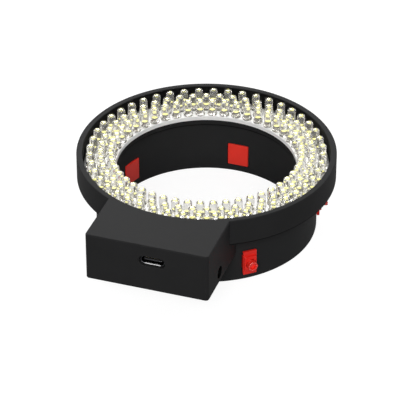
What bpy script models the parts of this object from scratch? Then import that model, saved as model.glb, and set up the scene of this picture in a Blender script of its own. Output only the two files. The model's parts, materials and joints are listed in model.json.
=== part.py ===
"""Microscope ring light with a radial control box and five screw-driven clamp pads.

The light side faces up. The ring stands on its mount collar, the control box points to -Y and the
lens axis is parallel to Z. Lengths are in metres, heights run up from the collar's foot, and the
radial sizes run out from the lens axis.
"""

from math import asin, cos, degrees, pi, radians, sin, sqrt

import bmesh
import bpy
from mathutils import Vector

# Clearances and small edges
SEAT_GAP = 0.0003              # between pieces that rest on each other
SLIDE_GAP = 0.00025            # around pieces that move in a hole or a pocket
EDGE_BREAK = 0.0004            # broken edges of the turned housings
OVERRUN = 0.0040               # how far every cutter runs past what it cuts
MERGE_DISTANCE = 0.000001
RING_FACETS = 60
SMALL_FACETS = 12

# Light housing: the rim, its trough and the floor
OVERALL_HEIGHT = 0.0300        # collar foot to rim top
RIM_RADIUS = 0.0470
RIM_WALL = 0.0022
RING_WIDTH = 0.0140            # outside of the rim to the edge of the bore
FLOOR_THICKNESS = 0.0022

# Board that carries the light-emitting diodes
BOARD_TOP_DEPTH = 0.0059       # below the rim top
BOARD_THICKNESS = 0.0016
BOARD_OVERHANG = 0.0003        # board edge inside the floor's bore
LED_RINGS = 3
LEDS_PER_RING = 48
LED_RADIUS = 0.0015
LED_BODY_HEIGHT = 0.0053
LED_STANDOFF = 0.0010
LED_BORE_MARGIN = 0.0003       # inner diodes to the board's edge
LED_RIM_MARGIN = 0.0013        # outer diodes to the rim's inside
LED_FACETS = 8
LED_ROOT = 0.0004              # how deep a diode's leads hold it in the board

# Mount collar
COLLAR_LIP = 0.0016            # how far the collar's bore stands back under the floor
COLLAR_WALL = 0.0057

# Control box, moulded in one with the light housing
BOX_LENGTH = 0.0178            # outside of the rim to the front face
BOX_WIDTH = 0.0448
BOX_WALL = 0.0020
BOX_EDGE = 0.0007
BOX_EDGE_STEPS = 2
BACK_WALL = 0.0018             # between the collar and the inside of the box
UNDER_BOARD_ROOM = 0.00667     # driver board to the cover under it
COVER_THICKNESS = 0.0016
POST_RADIUS = 0.0022
POST_INSET = 0.0028            # post axis from the inside of the box's side wall
FRONT_POST_INSET = 0.0025      # post axis from the inside of the front wall
POST_RIM_GAP = 0.0008          # rear posts to the outside of the rim

# Screws
SMALL_SCREW_RADIUS = 0.0010
SMALL_HEAD_RADIUS = 0.0019
SMALL_HEAD_HEIGHT = 0.0011
COVER_SCREW_LENGTH = 0.0066
BOARD_SCREW_LENGTH = 0.0048
COLLAR_SCREW_RADIUS = 0.0011
COLLAR_HEAD_RADIUS = 0.0022
COLLAR_HEAD_HEIGHT = 0.0012
COLLAR_SCREW_LENGTH = 0.0095
COLLAR_SCREW_ANGLES_DEG = (35.0, 105.0, 254.0, 324.0)
HOLE_END = 0.0008              # how far a blind hole runs past its screw

# Driver board and what is on it
DRIVER_THICKNESS = 0.0016
WIRE_ROOM = 0.0026             # outside of the rim to the driver board's edge
DRIVER_FRONT_GAP = 0.0006      # board edge to the inside of the front wall
DRIVER_SIDE_GAP = 0.0010
NOTCH_GAP = 0.0005             # around a post in the board's corner
CHIP_SIZE = (0.0040, 0.0040, 0.0015)
INDUCTOR_SIZE = (0.0042, 0.0040, 0.0028)
PART_GAP = 0.0004              # between the parts, the bosses and the port
BOSS_GAP = 0.0008              # board screw's head to the switch

# Charging and power port
PORT_X = 0.0020
PORT_DEPTH = 0.0064            # port axis below the box top
PORT_WIDTH = 0.00894
PORT_HEIGHT = 0.00326
PORT_WALL = 0.00035
PORT_LENGTH = 0.0073
PORT_RECESS = 0.0006           # shell end behind the front face
TONGUE_WIDTH = 0.0067
TONGUE_THICKNESS = 0.0007
TONGUE_BASE = 0.0020
TONGUE_RECESS = 0.0009         # tongue end behind the shell's

# Brightness button in the right-hand side wall
BUTTON_RADIUS = 0.0020
BUTTON_LENGTH = 0.0027
BUTTON_RECESS = 0.0012
BUTTON_TRAVEL = 0.0004
STEM_RADIUS = 0.0010
STEM_LENGTH = 0.0019
SWITCH_DEPTH = 0.0035          # along the button's travel
SWITCH_LENGTH = 0.0048
SWITCH_WALL = 0.00045          # under the stem
SWITCH_GAP = 0.0007            # switch to the rear post

# Lead wires from the driver board to the diode board
WIRE_RADIUS = 0.00045
WIRE_SPACING = 0.0016
WIRE_LANDING = 0.0015          # how far a wire lies over each board
WIRE_POINTS = 10

# Clamps: angles run clockwise from the side opposite the box, seen from the light side
FAR_CLAMP_DEG = 1.5
RIGHT_CLAMP_DEG = 69.5
LEFT_CLAMP_DEG = 288.0
CLAMP_BOX_GAP = 0.00221        # between the box's side and the clamps next to it
CLAMP_HEIGHT = 0.0072          # screw axis above the collar's foot
CLAMP_STROKE = 0.0028          # four turns of a 0.7 mm thread
PAD_WIDTH = 0.0080
PAD_HEIGHT = 0.0088
PAD_THICKNESS = 0.0032
PAD_PROUD = 0.0004             # pad face inside the collar's bore
PAD_EDGE = 0.0004
SOCKET_DEPTH = 0.0020
TIP_RADIUS = 0.0013
PLATE_MARGIN = 0.0002          # plate beyond the nut, each side
PLATE_HEIGHT = 0.0104
PLATE_PROUD = 0.00105          # plate face outside the collar's wall
LUG_WALL = 0.00035
LUG_HEIGHT = 0.0058
LUG_PROUD = 0.0007
NUT_WALL = 0.00055
NUT_HEIGHT = 0.0054
PLATE_EDGE = 0.0002
THUMB_RADIUS = 0.0017
THUMB_EDGE = 0.0003
FLUTES = 6
FLUTE_DEPTH = 0.00018

# The ring: heights and radii worked out from the sizes above
RIM_TOP = OVERALL_HEIGHT
RIM_INNER = RIM_RADIUS - RIM_WALL
BOARD_TOP = RIM_TOP - BOARD_TOP_DEPTH
BOARD_UNDER = BOARD_TOP - BOARD_THICKNESS
FLOOR_TOP = BOARD_UNDER - SEAT_GAP
FLOOR_UNDER = FLOOR_TOP - FLOOR_THICKNESS
FLOOR_BORE_RADIUS = RIM_RADIUS - RING_WIDTH
BOARD_RADIUS = RIM_INNER - SEAT_GAP
BOARD_BORE_RADIUS = FLOOR_BORE_RADIUS - BOARD_OVERHANG
LED_INNER_RING = BOARD_BORE_RADIUS + LED_BORE_MARGIN + LED_RADIUS
LED_OUTER_RING = RIM_INNER - LED_RIM_MARGIN - LED_RADIUS
COLLAR_TOP = FLOOR_UNDER - SEAT_GAP
COLLAR_BORE_RADIUS = FLOOR_BORE_RADIUS + COLLAR_LIP
COLLAR_RADIUS = COLLAR_BORE_RADIUS + COLLAR_WALL
COLLAR_SCREW_REACH = (COLLAR_RADIUS + COLLAR_BORE_RADIUS) / 2

# The box: a reach runs out from the lens axis towards the box's front
BOX_REACH = RIM_RADIUS + BOX_LENGTH
RING_Y = BOX_LENGTH / 2
BOX_HALF = BOX_WIDTH / 2
CAVITY_HALF = BOX_HALF - BOX_WALL
CAVITY_FRONT = BOX_REACH - BOX_WALL
CAVITY_TOP = RIM_TOP - BOX_WALL
BACK_OUTER = COLLAR_RADIUS + SEAT_GAP
BACK_INNER = BACK_OUTER + BACK_WALL
PORT_Z = RIM_TOP - PORT_DEPTH
PORT_FRONT = BOX_REACH - PORT_RECESS
PORT_REAR = PORT_FRONT - PORT_LENGTH
DRIVER_TOP = PORT_Z - PORT_HEIGHT / 2 - SEAT_GAP
DRIVER_UNDER = DRIVER_TOP - DRIVER_THICKNESS
DRIVER_REAR = RIM_RADIUS + WIRE_ROOM
COVER_TOP = DRIVER_UNDER - UNDER_BOARD_ROOM
BOX_UNDER = COVER_TOP - COVER_THICKNESS
POST_X = CAVITY_HALF - POST_INSET
FRONT_POST_REACH = CAVITY_FRONT - FRONT_POST_INSET
REAR_POST_RADIUS = RIM_RADIUS + POST_RIM_GAP + POST_RADIUS
REAR_POST_REACH = sqrt(REAR_POST_RADIUS * REAR_POST_RADIUS - POST_X * POST_X)
POST_PLACES = tuple((side * POST_X, reach) for side in (-1, 1)
                    for reach in (FRONT_POST_REACH, REAR_POST_REACH))
BUTTON_Z = COVER_TOP + SEAT_GAP + BUTTON_RADIUS
BUTTON_REACH = REAR_POST_REACH + POST_RADIUS + SWITCH_GAP + SWITCH_LENGTH / 2
BUTTON_END = BOX_HALF - BUTTON_RECESS
CAP_BACK = BUTTON_END - BUTTON_LENGTH
SWITCH_FACE = CAP_BACK - BUTTON_TRAVEL - SEAT_GAP
SWITCH_INNER = SWITCH_FACE - SWITCH_DEPTH
SWITCH_TOP = DRIVER_UNDER - SEAT_GAP
SWITCH_UNDER = BUTTON_Z - STEM_RADIUS - SLIDE_GAP - SWITCH_WALL
PARTS_REACH = PORT_REAR - PART_GAP - INDUCTOR_SIZE[1] / 2
BOSS_X = SWITCH_INNER - BOSS_GAP - SMALL_HEAD_RADIUS
BOSS_PLACES = ((-BOSS_X, PARTS_REACH), (BOSS_X, PARTS_REACH))
PARTS_OUTER = BOSS_X - POST_RADIUS - PART_GAP

# The clamps: radii along each clamp's own axis
PAD_FACE_RADIUS = COLLAR_BORE_RADIUS - PAD_PROUD
PAD_BACK_RADIUS = PAD_FACE_RADIUS + PAD_THICKNESS
POCKET_RADIUS = PAD_BACK_RADIUS + SEAT_GAP
NUT_BACK = POCKET_RADIUS + SEAT_GAP
PLATE_BACK = COLLAR_RADIUS
PLATE_FACE = COLLAR_RADIUS + PLATE_PROUD
LUG_FACE = PLATE_FACE + LUG_PROUD
THUMB_END = PLATE_FACE + CLAMP_STROKE + THUMB_EDGE
TIP_END = PAD_BACK_RADIUS - SOCKET_DEPTH + SEAT_GAP
LUG_WIDTH = 2 * (THUMB_RADIUS + SLIDE_GAP + LUG_WALL)
NUT_WIDTH = 2 * (THUMB_RADIUS + SLIDE_GAP + NUT_WALL)
PLATE_WIDTH = NUT_WIDTH + 2 * PLATE_MARGIN
BOX_CLAMP_DEG = 180 - degrees(asin((BOX_HALF + CLAMP_BOX_GAP + PLATE_WIDTH / 2) / LUG_FACE))
CLAMP_ANGLES_DEG = (FAR_CLAMP_DEG, RIGHT_CLAMP_DEG, BOX_CLAMP_DEG, -BOX_CLAMP_DEG, LEFT_CLAMP_DEG)


def clear_scene():
    for obj in list(bpy.data.objects):
        bpy.data.objects.remove(obj)


def make_material(name, colour, roughness, metallic=0.0):
    material = bpy.data.materials.new(name)
    material.use_nodes = True
    shader = material.node_tree.nodes["Principled BSDF"]
    shader.inputs["Base Color"].default_value = (*colour, 1.0)
    shader.inputs["Roughness"].default_value = roughness
    shader.inputs["Metallic"].default_value = metallic
    return material


def shade(mesh):
    mesh.shade_smooth()
    mesh.set_sharp_from_angle(angle=radians(30))


def add_object(name, bm, parent, material=None, location=(0, 0, 0), rotation=(0, 0, 0)):
    mesh = bpy.data.meshes.new(name)
    bmesh.ops.recalc_face_normals(bm, faces=bm.faces)
    bm.to_mesh(mesh)
    bm.free()
    if material is not None:
        mesh.materials.append(material)
    shade(mesh)
    obj = bpy.data.objects.new(name, mesh)
    obj.parent = parent
    obj.location = location
    obj.rotation_euler = rotation
    bpy.context.scene.collection.objects.link(obj)
    return obj


def add_empty(name, parent, location, rotation=(0, 0, 0)):
    empty = bpy.data.objects.new(name, None)
    empty.parent = parent
    empty.location = location
    empty.rotation_euler = rotation
    bpy.context.scene.collection.objects.link(empty)
    return empty


def shape_with(target, tools, operation):
    """Joins each tool to the target, or cuts it away, and then removes the tools."""
    for tool in tools:
        modifier = target.modifiers.new(tool.name, "BOOLEAN")
        modifier.operation = operation
        modifier.object = tool
    bpy.context.view_layer.update()
    evaluated = target.evaluated_get(bpy.context.evaluated_depsgraph_get())
    mesh = bpy.data.meshes.new_from_object(evaluated)
    target.modifiers.clear()
    target.data = mesh
    shade(mesh)
    for tool in tools:
        bpy.data.objects.remove(tool)


def cut(target, *tools):
    shape_with(target, tools, "DIFFERENCE")


def fuse(target, *tools):
    shape_with(target, tools, "UNION")


def block(low, high):
    bm = bmesh.new()
    low, high = Vector(low), Vector(high)
    bmesh.ops.create_cube(bm, size=1)
    bmesh.ops.scale(bm, vec=high - low, verts=bm.verts)
    bmesh.ops.translate(bm, vec=(low + high) / 2, verts=bm.verts)
    return bm


def bevel_edges(bm, width, steps, chosen):
    """Rounds the edges for which chosen(start, end) is true."""
    edges = [e for e in bm.edges if chosen(e.verts[0].co, e.verts[1].co)]
    bmesh.ops.bevel(bm, geom=edges, offset=width, offset_type="OFFSET", segments=steps,
                    profile=0.5, affect="EDGES", clamp_overlap=True)


def turned(profile, facets, closed=False):
    """Spins a profile of (radius, height) points round Z; an open one ends on the axis."""
    bm = bmesh.new()
    verts = [bm.verts.new((radius, 0, height)) for radius, height in profile]
    following = verts[1:] + verts[:1] if closed else verts[1:]
    edges = [bm.edges.new(pair) for pair in zip(verts, following)]
    bmesh.ops.spin(bm, geom=verts + edges, cent=(0, 0, 0), axis=(0, 0, 1), angle=2 * pi,
                   steps=facets, use_merge=True)
    bmesh.ops.remove_doubles(bm, verts=bm.verts, dist=MERGE_DISTANCE)
    return bm


def loft(sections, closed=False):
    """Skins sections of equally many points; a closed loft returns to its first section."""
    bm = bmesh.new()
    rings = [[bm.verts.new(point) for point in section] for section in sections]
    following = rings[1:] + rings[:1] if closed else rings[1:]
    for ring, after in zip(rings, following):
        for k in range(len(ring)):
            j = (k + 1) % len(ring)
            bm.faces.new((ring[k], ring[j], after[j], after[k]))
    if not closed:
        bm.faces.new(rings[0])
        bm.faces.new(rings[-1])
    return bm


def rectangle(width, height, level):
    corners = ((-1, -1), (1, -1), (1, 1), (-1, 1))
    return [(x * width / 2, y * height / 2, level) for x, y in corners]


def star(tip, root, points, level):
    radii = (tip, root)
    steps = 2 * points
    return [(radii[k % 2] * cos(2 * pi * k / steps), radii[k % 2] * sin(2 * pi * k / steps), level)
            for k in range(steps)]


def slot_outline(width, height, place):
    """An upright rounded slot in the X-Z plane at Y = place, centred on the origin."""
    radius = height / 2
    half = width / 2 - radius
    points = []
    for side in (1, -1):
        for k in range(SMALL_FACETS // 2 + 1):
            angle = pi * k / (SMALL_FACETS // 2) - pi / 2
            points.append((side * (half + radius * cos(angle)), place, side * radius * sin(angle)))
    return points


def prism(outline, low, high):
    """Extrudes a flat outline of (x, y) points between two heights."""
    return loft([[(x, y, level) for x, y in outline] for level in (low, high)])


def rod(radius, low, high):
    return turned([(0, low), (radius, low), (radius, high), (0, high)], SMALL_FACETS)


def screw_profile(radius, head_radius, head_height, length):
    """A countersunk screw with its flat head at height zero and its point up."""
    return [(0, 0), (head_radius, 0), (radius, head_height), (radius, length), (0, length)]


def on_circle(radius, degrees):
    """A place on a circle round the lens axis, clockwise from +Y, as (x, y)."""
    return radius * sin(radians(degrees)), radius * cos(radians(degrees))


def stepped_core(upper, lower, step, parent):
    """A core round the lens axis: one radius above the step and another below it."""
    profile = [(0, -OVERRUN), (lower, -OVERRUN), (lower, step), (upper, step),
               (upper, RIM_TOP + OVERRUN), (0, RIM_TOP + OVERRUN)]
    return add_object("core", turned(profile, RING_FACETS), parent)


def make_ring(parent, material):
    profile = [
        (RIM_RADIUS, FLOOR_UNDER + EDGE_BREAK),
        (RIM_RADIUS, RIM_TOP - EDGE_BREAK),
        (RIM_RADIUS - EDGE_BREAK, RIM_TOP),
        (RIM_INNER + EDGE_BREAK / 2, RIM_TOP),
        (RIM_INNER, RIM_TOP - EDGE_BREAK / 2),
        (RIM_INNER, FLOOR_TOP),
        (FLOOR_BORE_RADIUS, FLOOR_TOP),
        (FLOOR_BORE_RADIUS, FLOOR_UNDER),
        (RIM_RADIUS - EDGE_BREAK, FLOOR_UNDER),
    ]
    return add_object("light_housing", turned(profile, RING_FACETS, closed=True), parent, material)


def make_box_shell(parent):
    """The box's outer block, cut to the rim's middle above the floor and to the collar below."""
    bm = block((-BOX_HALF, -BOX_REACH, BOX_UNDER), (BOX_HALF, -COLLAR_BORE_RADIUS, RIM_TOP))
    front = -BOX_REACH + BOX_EDGE

    def outer_edge(start, end):
        lengthwise = abs(start.y - end.y) > BOX_WALL
        return lengthwise or max(start.y, end.y) < front

    bevel_edges(bm, BOX_EDGE, BOX_EDGE_STEPS, outer_edge)
    shell = add_object("box_shell", bm, parent)
    middle = RIM_RADIUS - RIM_WALL / 2
    step = (FLOOR_TOP + FLOOR_UNDER) / 2
    cut(shell, stepped_core(middle, BACK_OUTER, step, parent))
    return shell


def make_cavity(parent):
    """The inside of the box, which stays outside the rim's wall and the wall at the collar."""
    bm = block((-CAVITY_HALF, -CAVITY_FRONT, BOX_UNDER - OVERRUN),
               (CAVITY_HALF, -COLLAR_BORE_RADIUS, CAVITY_TOP))
    cavity = add_object("cavity", bm, parent)
    cut(cavity, stepped_core(RIM_RADIUS, BACK_INNER, FLOOR_UNDER, parent))
    return cavity


def make_posts(parent):
    """Posts for the cover's screws and bosses for the driver board's, hung from the box top."""
    places = [(x, reach, COVER_TOP + SEAT_GAP) for x, reach in POST_PLACES]
    places += [(x, reach, DRIVER_TOP + SEAT_GAP) for x, reach in BOSS_PLACES]
    return [add_object("post", rod(POST_RADIUS, foot, CAVITY_TOP + BOX_WALL / 2), parent,
                       location=(x, -reach, 0)) for x, reach, foot in places]


def make_housing_cutters(parent):
    hole = SMALL_SCREW_RADIUS + SEAT_GAP
    tools = []
    for x, reach in POST_PLACES:
        end = BOX_UNDER + COVER_SCREW_LENGTH + HOLE_END
        tools.append(add_object("cover_screw_hole", rod(hole, BOX_UNDER, end), parent,
                                location=(x, -reach, 0)))
    for x, reach in BOSS_PLACES:
        end = DRIVER_UNDER + BOARD_SCREW_LENGTH + HOLE_END
        tools.append(add_object("board_screw_hole", rod(hole, DRIVER_UNDER, end), parent,
                                location=(x, -reach, 0)))
    slot = [slot_outline(PORT_WIDTH + 2 * SEAT_GAP, PORT_HEIGHT + 2 * SEAT_GAP, y)
            for y in (-BOX_REACH - OVERRUN, -CAVITY_FRONT + SEAT_GAP)]
    tools.append(add_object("port_opening", loft(slot), parent, location=(PORT_X, 0, PORT_Z)))
    side_hole = rod(BUTTON_RADIUS + SLIDE_GAP, CAVITY_HALF - SEAT_GAP, BOX_HALF + OVERRUN)
    tools.append(add_object("button_hole", side_hole, parent,
                            location=(0, -BUTTON_REACH, BUTTON_Z), rotation=(0, pi / 2, 0)))
    half = WIRE_SPACING / 2 + WIRE_RADIUS + 2 * SEAT_GAP
    inner = RIM_INNER - WIRE_LANDING - WIRE_RADIUS - SEAT_GAP
    wire_slot = block((-half, -RIM_RADIUS - SEAT_GAP, FLOOR_TOP - 2 * (WIRE_RADIUS + SLIDE_GAP)),
                      (half, -inner, FLOOR_TOP + SEAT_GAP))
    tools.append(add_object("wire_slot", wire_slot, parent))
    return tools


def collar_screw_holes(parent):
    """Countersunk holes through the floor, at the collar's screws."""
    tools = []
    reach = COLLAR_HEAD_RADIUS + SEAT_GAP
    shank = COLLAR_SCREW_RADIUS + SEAT_GAP
    profile = [(0, FLOOR_UNDER - OVERRUN), (shank, FLOOR_UNDER - OVERRUN),
               (shank, FLOOR_TOP - COLLAR_HEAD_HEIGHT), (reach, FLOOR_TOP),
               (reach, FLOOR_TOP + SEAT_GAP), (0, FLOOR_TOP + SEAT_GAP)]
    for angle in COLLAR_SCREW_ANGLES_DEG:
        x, y = on_circle(COLLAR_SCREW_REACH, angle)
        tools.append(add_object("collar_screw_hole", turned(profile, SMALL_FACETS), parent,
                                location=(x, y, 0)))
    return tools


def make_light_housing(parent, material):
    housing = make_ring(parent, material)
    fuse(housing, make_box_shell(parent))
    cut(housing, make_cavity(parent))
    fuse(housing, *make_posts(parent))
    cut(housing, *make_housing_cutters(parent), *collar_screw_holes(parent))
    return housing


def make_led_board(parent, material):
    """The white ring board with its three rings of diodes soldered on as one assembly."""
    profile = [(BOARD_RADIUS, BOARD_UNDER), (BOARD_RADIUS, BOARD_TOP),
               (BOARD_BORE_RADIUS, BOARD_TOP), (BOARD_BORE_RADIUS, BOARD_UNDER)]
    board = add_object("led_board", turned(profile, RING_FACETS, closed=True), parent, material)
    top = BOARD_TOP + LED_STANDOFF + LED_BODY_HEIGHT
    dome = LED_RADIUS * sqrt(0.5)
    bullet = [(0, BOARD_TOP - LED_ROOT), (LED_RADIUS, BOARD_TOP - LED_ROOT),
              (LED_RADIUS, top - LED_RADIUS), (dome, top - LED_RADIUS + dome), (0, top)]
    diodes = bmesh.new()
    single = turned(bullet, LED_FACETS)
    shape = bpy.data.meshes.new("diode")
    single.to_mesh(shape)
    single.free()
    for ring in range(LED_RINGS):
        radius = LED_INNER_RING + (LED_OUTER_RING - LED_INNER_RING) * ring / (LED_RINGS - 1)
        for k in range(LEDS_PER_RING):
            x, y = on_circle(radius, (k + (ring % 2) / 2) * 360 / LEDS_PER_RING)
            before = len(diodes.verts)
            diodes.from_mesh(shape)
            diodes.verts.ensure_lookup_table()
            bmesh.ops.translate(diodes, vec=(x, y, 0), verts=diodes.verts[before:])
    bpy.data.meshes.remove(shape)
    fuse(board, add_object("diodes", diodes, parent))
    return board


def make_mount_collar(parent, material):
    profile = [
        (COLLAR_RADIUS - EDGE_BREAK, 0),
        (COLLAR_RADIUS, EDGE_BREAK),
        (COLLAR_RADIUS, COLLAR_TOP),
        (COLLAR_BORE_RADIUS, COLLAR_TOP),
        (COLLAR_BORE_RADIUS, EDGE_BREAK),
        (COLLAR_BORE_RADIUS + EDGE_BREAK, 0),
    ]
    collar = add_object("mount_collar", turned(profile, RING_FACETS, closed=True), parent, material)
    depth = COLLAR_SCREW_LENGTH - (FLOOR_TOP - COLLAR_TOP) + HOLE_END
    pilot = COLLAR_SCREW_RADIUS + SEAT_GAP
    tools = []
    for angle in COLLAR_SCREW_ANGLES_DEG:
        x, y = on_circle(COLLAR_SCREW_REACH, angle)
        tools.append(add_object("pilot_hole", rod(pilot, COLLAR_TOP - depth, RIM_TOP), parent,
                                location=(x, y, 0)))
    cut(collar, *tools)
    return collar


def cut_clamp_pocket(collar, axis):
    """A pocket for the pad, a window for the nut and a flat seat for the outer plate."""
    pocket = loft([rectangle(PAD_WIDTH + 2 * SLIDE_GAP, PAD_HEIGHT + 2 * SLIDE_GAP, level)
                   for level in (COLLAR_BORE_RADIUS - OVERRUN, POCKET_RADIUS)])
    window = loft([rectangle(NUT_WIDTH + 2 * SEAT_GAP, NUT_HEIGHT + 2 * SEAT_GAP, level)
                   for level in (POCKET_RADIUS - SEAT_GAP, COLLAR_RADIUS + OVERRUN)])
    seat = loft([rectangle(PLATE_WIDTH + 2 * SLIDE_GAP, PLATE_HEIGHT + 2 * SLIDE_GAP, level)
                 for level in (COLLAR_RADIUS - SEAT_GAP, COLLAR_RADIUS + OVERRUN)])
    cut(collar, *(add_object("clamp_cutter", bm, axis) for bm in (pocket, window, seat)))


def make_pad(number, axis, material):
    bm = loft([rectangle(PAD_WIDTH, PAD_HEIGHT, level) for level in (0, PAD_THICKNESS)])
    bevel_edges(bm, PAD_EDGE, 1, lambda start, end: min(start.z, end.z) < PAD_EDGE)
    pad = add_object(f"clamp_pad_{number}", bm, axis, material, location=(0, 0, PAD_FACE_RADIUS))
    socket = rod(TIP_RADIUS + SEAT_GAP, PAD_THICKNESS - SOCKET_DEPTH, PAD_THICKNESS + OVERRUN)
    cut(pad, add_object("socket", socket, axis, location=(0, 0, PAD_FACE_RADIUS)))
    return pad


def make_plate(number, axis, material):
    """The outer plate with a raised lug, and behind it the nut that passes through the wall."""
    nut = (NUT_WIDTH, NUT_HEIGHT)
    plate = (PLATE_WIDTH, PLATE_HEIGHT)
    lug = (LUG_WIDTH, LUG_HEIGHT)
    levels = ((nut, NUT_BACK), (nut, PLATE_BACK), (plate, PLATE_BACK), (plate, PLATE_FACE),
              (lug, PLATE_FACE), (lug, LUG_FACE))
    bm = loft([rectangle(*size, level) for size, level in levels])

    def front_edge(start, end):
        level = min(start.z, end.z)
        face = abs(start.z - end.z) < PLATE_EDGE and level > PLATE_BACK + PLATE_EDGE
        half = PLATE_WIDTH / 2 if level < LUG_FACE - PLATE_EDGE else LUG_WIDTH / 2
        return face and abs(max(abs(start.x), abs(end.x)) - half) < PLATE_EDGE / 2

    bevel_edges(bm, PLATE_EDGE, 1, front_edge)
    piece = add_object(f"clamp_plate_{number}", bm, axis, material)
    bore = rod(THUMB_RADIUS + SLIDE_GAP, NUT_BACK - OVERRUN, LUG_FACE + OVERRUN)
    cut(piece, add_object("screw_bore", bore, axis))
    return piece


def make_thumbscrew(number, axis, material):
    root = THUMB_RADIUS - FLUTE_DEPTH
    shoulder = PAD_BACK_RADIUS + SEAT_GAP
    neck = LUG_FACE + SEAT_GAP
    sections = [
        star(TIP_RADIUS, TIP_RADIUS, FLUTES, TIP_END),
        star(TIP_RADIUS, TIP_RADIUS, FLUTES, shoulder),
        star(THUMB_RADIUS, THUMB_RADIUS, FLUTES, shoulder),
        star(THUMB_RADIUS, THUMB_RADIUS, FLUTES, neck),
        star(THUMB_RADIUS, root, FLUTES, neck + FLUTE_DEPTH),
        star(THUMB_RADIUS, root, FLUTES, THUMB_END - THUMB_EDGE),
        star(THUMB_RADIUS - THUMB_EDGE, root - THUMB_EDGE, FLUTES, THUMB_END),
    ]
    sections = [[(x, y, level - THUMB_END) for x, y, level in section] for section in sections]
    return add_object(f"thumbscrew_{number}", loft(sections), axis, material,
                      location=(0, 0, THUMB_END))


def make_clamps(collar, parent, material):
    """Each clamp is built along its own axis, an empty whose Z points out from the lens axis."""
    for number, angle in enumerate(CLAMP_ANGLES_DEG, start=1):
        axis = add_empty(f"clamp_axis_{number}", parent, (0, 0, CLAMP_HEIGHT),
                         (-pi / 2, 0, -radians(angle)))
        cut_clamp_pocket(collar, axis)
        make_pad(number, axis, material)
        make_plate(number, axis, material)
        make_thumbscrew(number, axis, material)


def make_box_cover(parent, material):
    """The lid under the box, cut to the curve of the wall behind it."""
    half = CAVITY_HALF - SEAT_GAP
    front = CAVITY_FRONT - SEAT_GAP
    back = BACK_INNER + SEAT_GAP
    spread = half / back
    count = RING_FACETS // 6
    outline = [(-half, -front), (half, -front)]
    for k in range(count + 1):
        x = half * (1 - 2 * k / count)
        outline.append((x, -sqrt(back * back - x * x)))
    cover = add_object("box_cover", prism(outline, BOX_UNDER, COVER_TOP), parent, material)
    reach = SMALL_HEAD_RADIUS + SEAT_GAP
    shank = SMALL_SCREW_RADIUS + SEAT_GAP
    profile = [(0, BOX_UNDER - OVERRUN), (reach, BOX_UNDER - OVERRUN), (reach, BOX_UNDER),
               (shank, BOX_UNDER + SMALL_HEAD_HEIGHT), (shank, COVER_TOP + OVERRUN),
               (0, COVER_TOP + OVERRUN)]
    cut(cover, *(add_object("countersink", turned(profile, SMALL_FACETS), parent,
                            location=(x, -y, 0)) for x, y in POST_PLACES))
    return cover


def make_screws(parent, steel):
    cover = screw_profile(SMALL_SCREW_RADIUS, SMALL_HEAD_RADIUS, SMALL_HEAD_HEIGHT,
                          COVER_SCREW_LENGTH - EDGE_BREAK)
    for number, (x, reach) in enumerate(POST_PLACES, start=1):
        add_object(f"cover_screw_{number}", turned(cover, SMALL_FACETS), parent, steel,
                   location=(x, -reach, BOX_UNDER + SEAT_GAP / 2))
    collar = screw_profile(COLLAR_SCREW_RADIUS, COLLAR_HEAD_RADIUS, COLLAR_HEAD_HEIGHT,
                           COLLAR_SCREW_LENGTH)
    for number, angle in enumerate(COLLAR_SCREW_ANGLES_DEG, start=1):
        x, y = on_circle(COLLAR_SCREW_REACH, angle)
        add_object(f"collar_screw_{number}", turned(collar, SMALL_FACETS), parent, steel,
                   location=(x, y, FLOOR_TOP), rotation=(pi, 0, 0))
    head = DRIVER_UNDER - SEAT_GAP
    pan = [(0, head - SMALL_HEAD_HEIGHT), (SMALL_HEAD_RADIUS, head - SMALL_HEAD_HEIGHT),
           (SMALL_HEAD_RADIUS, head), (SMALL_SCREW_RADIUS, head),
           (SMALL_SCREW_RADIUS, head + BOARD_SCREW_LENGTH), (0, head + BOARD_SCREW_LENGTH)]
    for number, (x, reach) in enumerate(BOSS_PLACES, start=1):
        add_object(f"board_screw_{number}", turned(pan, SMALL_FACETS), parent, steel,
                   location=(x, -reach, 0))


def make_driver_board(parent, material):
    """A plain board, notched round the cover's posts and drilled for its own screws."""
    half = CAVITY_HALF - DRIVER_SIDE_GAP
    bm = block((-half, DRIVER_FRONT_GAP - CAVITY_FRONT, DRIVER_UNDER), (half, -DRIVER_REAR, DRIVER_TOP))
    board = add_object("driver_board", bm, parent, material)
    low = DRIVER_UNDER - OVERRUN
    high = DRIVER_TOP + OVERRUN
    side = 2 * (POST_RADIUS + NOTCH_GAP)
    tools = [add_object("notch", loft([rectangle(side, side, level) for level in (low, high)]),
                        parent, location=(x, -reach, 0)) for x, reach in POST_PLACES]
    hole = SMALL_SCREW_RADIUS + SEAT_GAP
    tools += [add_object("board_hole", rod(hole, low, high), parent, location=(x, -reach, 0))
              for x, reach in BOSS_PLACES]
    cut(board, *tools)
    return board


def make_board_parts(parent, material):
    """The driver chip and the inductor, which stand on the driver board beside its bosses."""
    foot = DRIVER_TOP + SEAT_GAP
    for name, side, size in (("driver_chip", -1, CHIP_SIZE), ("driver_inductor", 1, INDUCTOR_SIZE)):
        width, depth, height = size
        x = side * (PARTS_OUTER - width / 2)
        bm = block((x - width / 2, -PARTS_REACH - depth / 2, foot),
                   (x + width / 2, -PARTS_REACH + depth / 2, foot + height))
        add_object(name, bm, parent, material)


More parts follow.
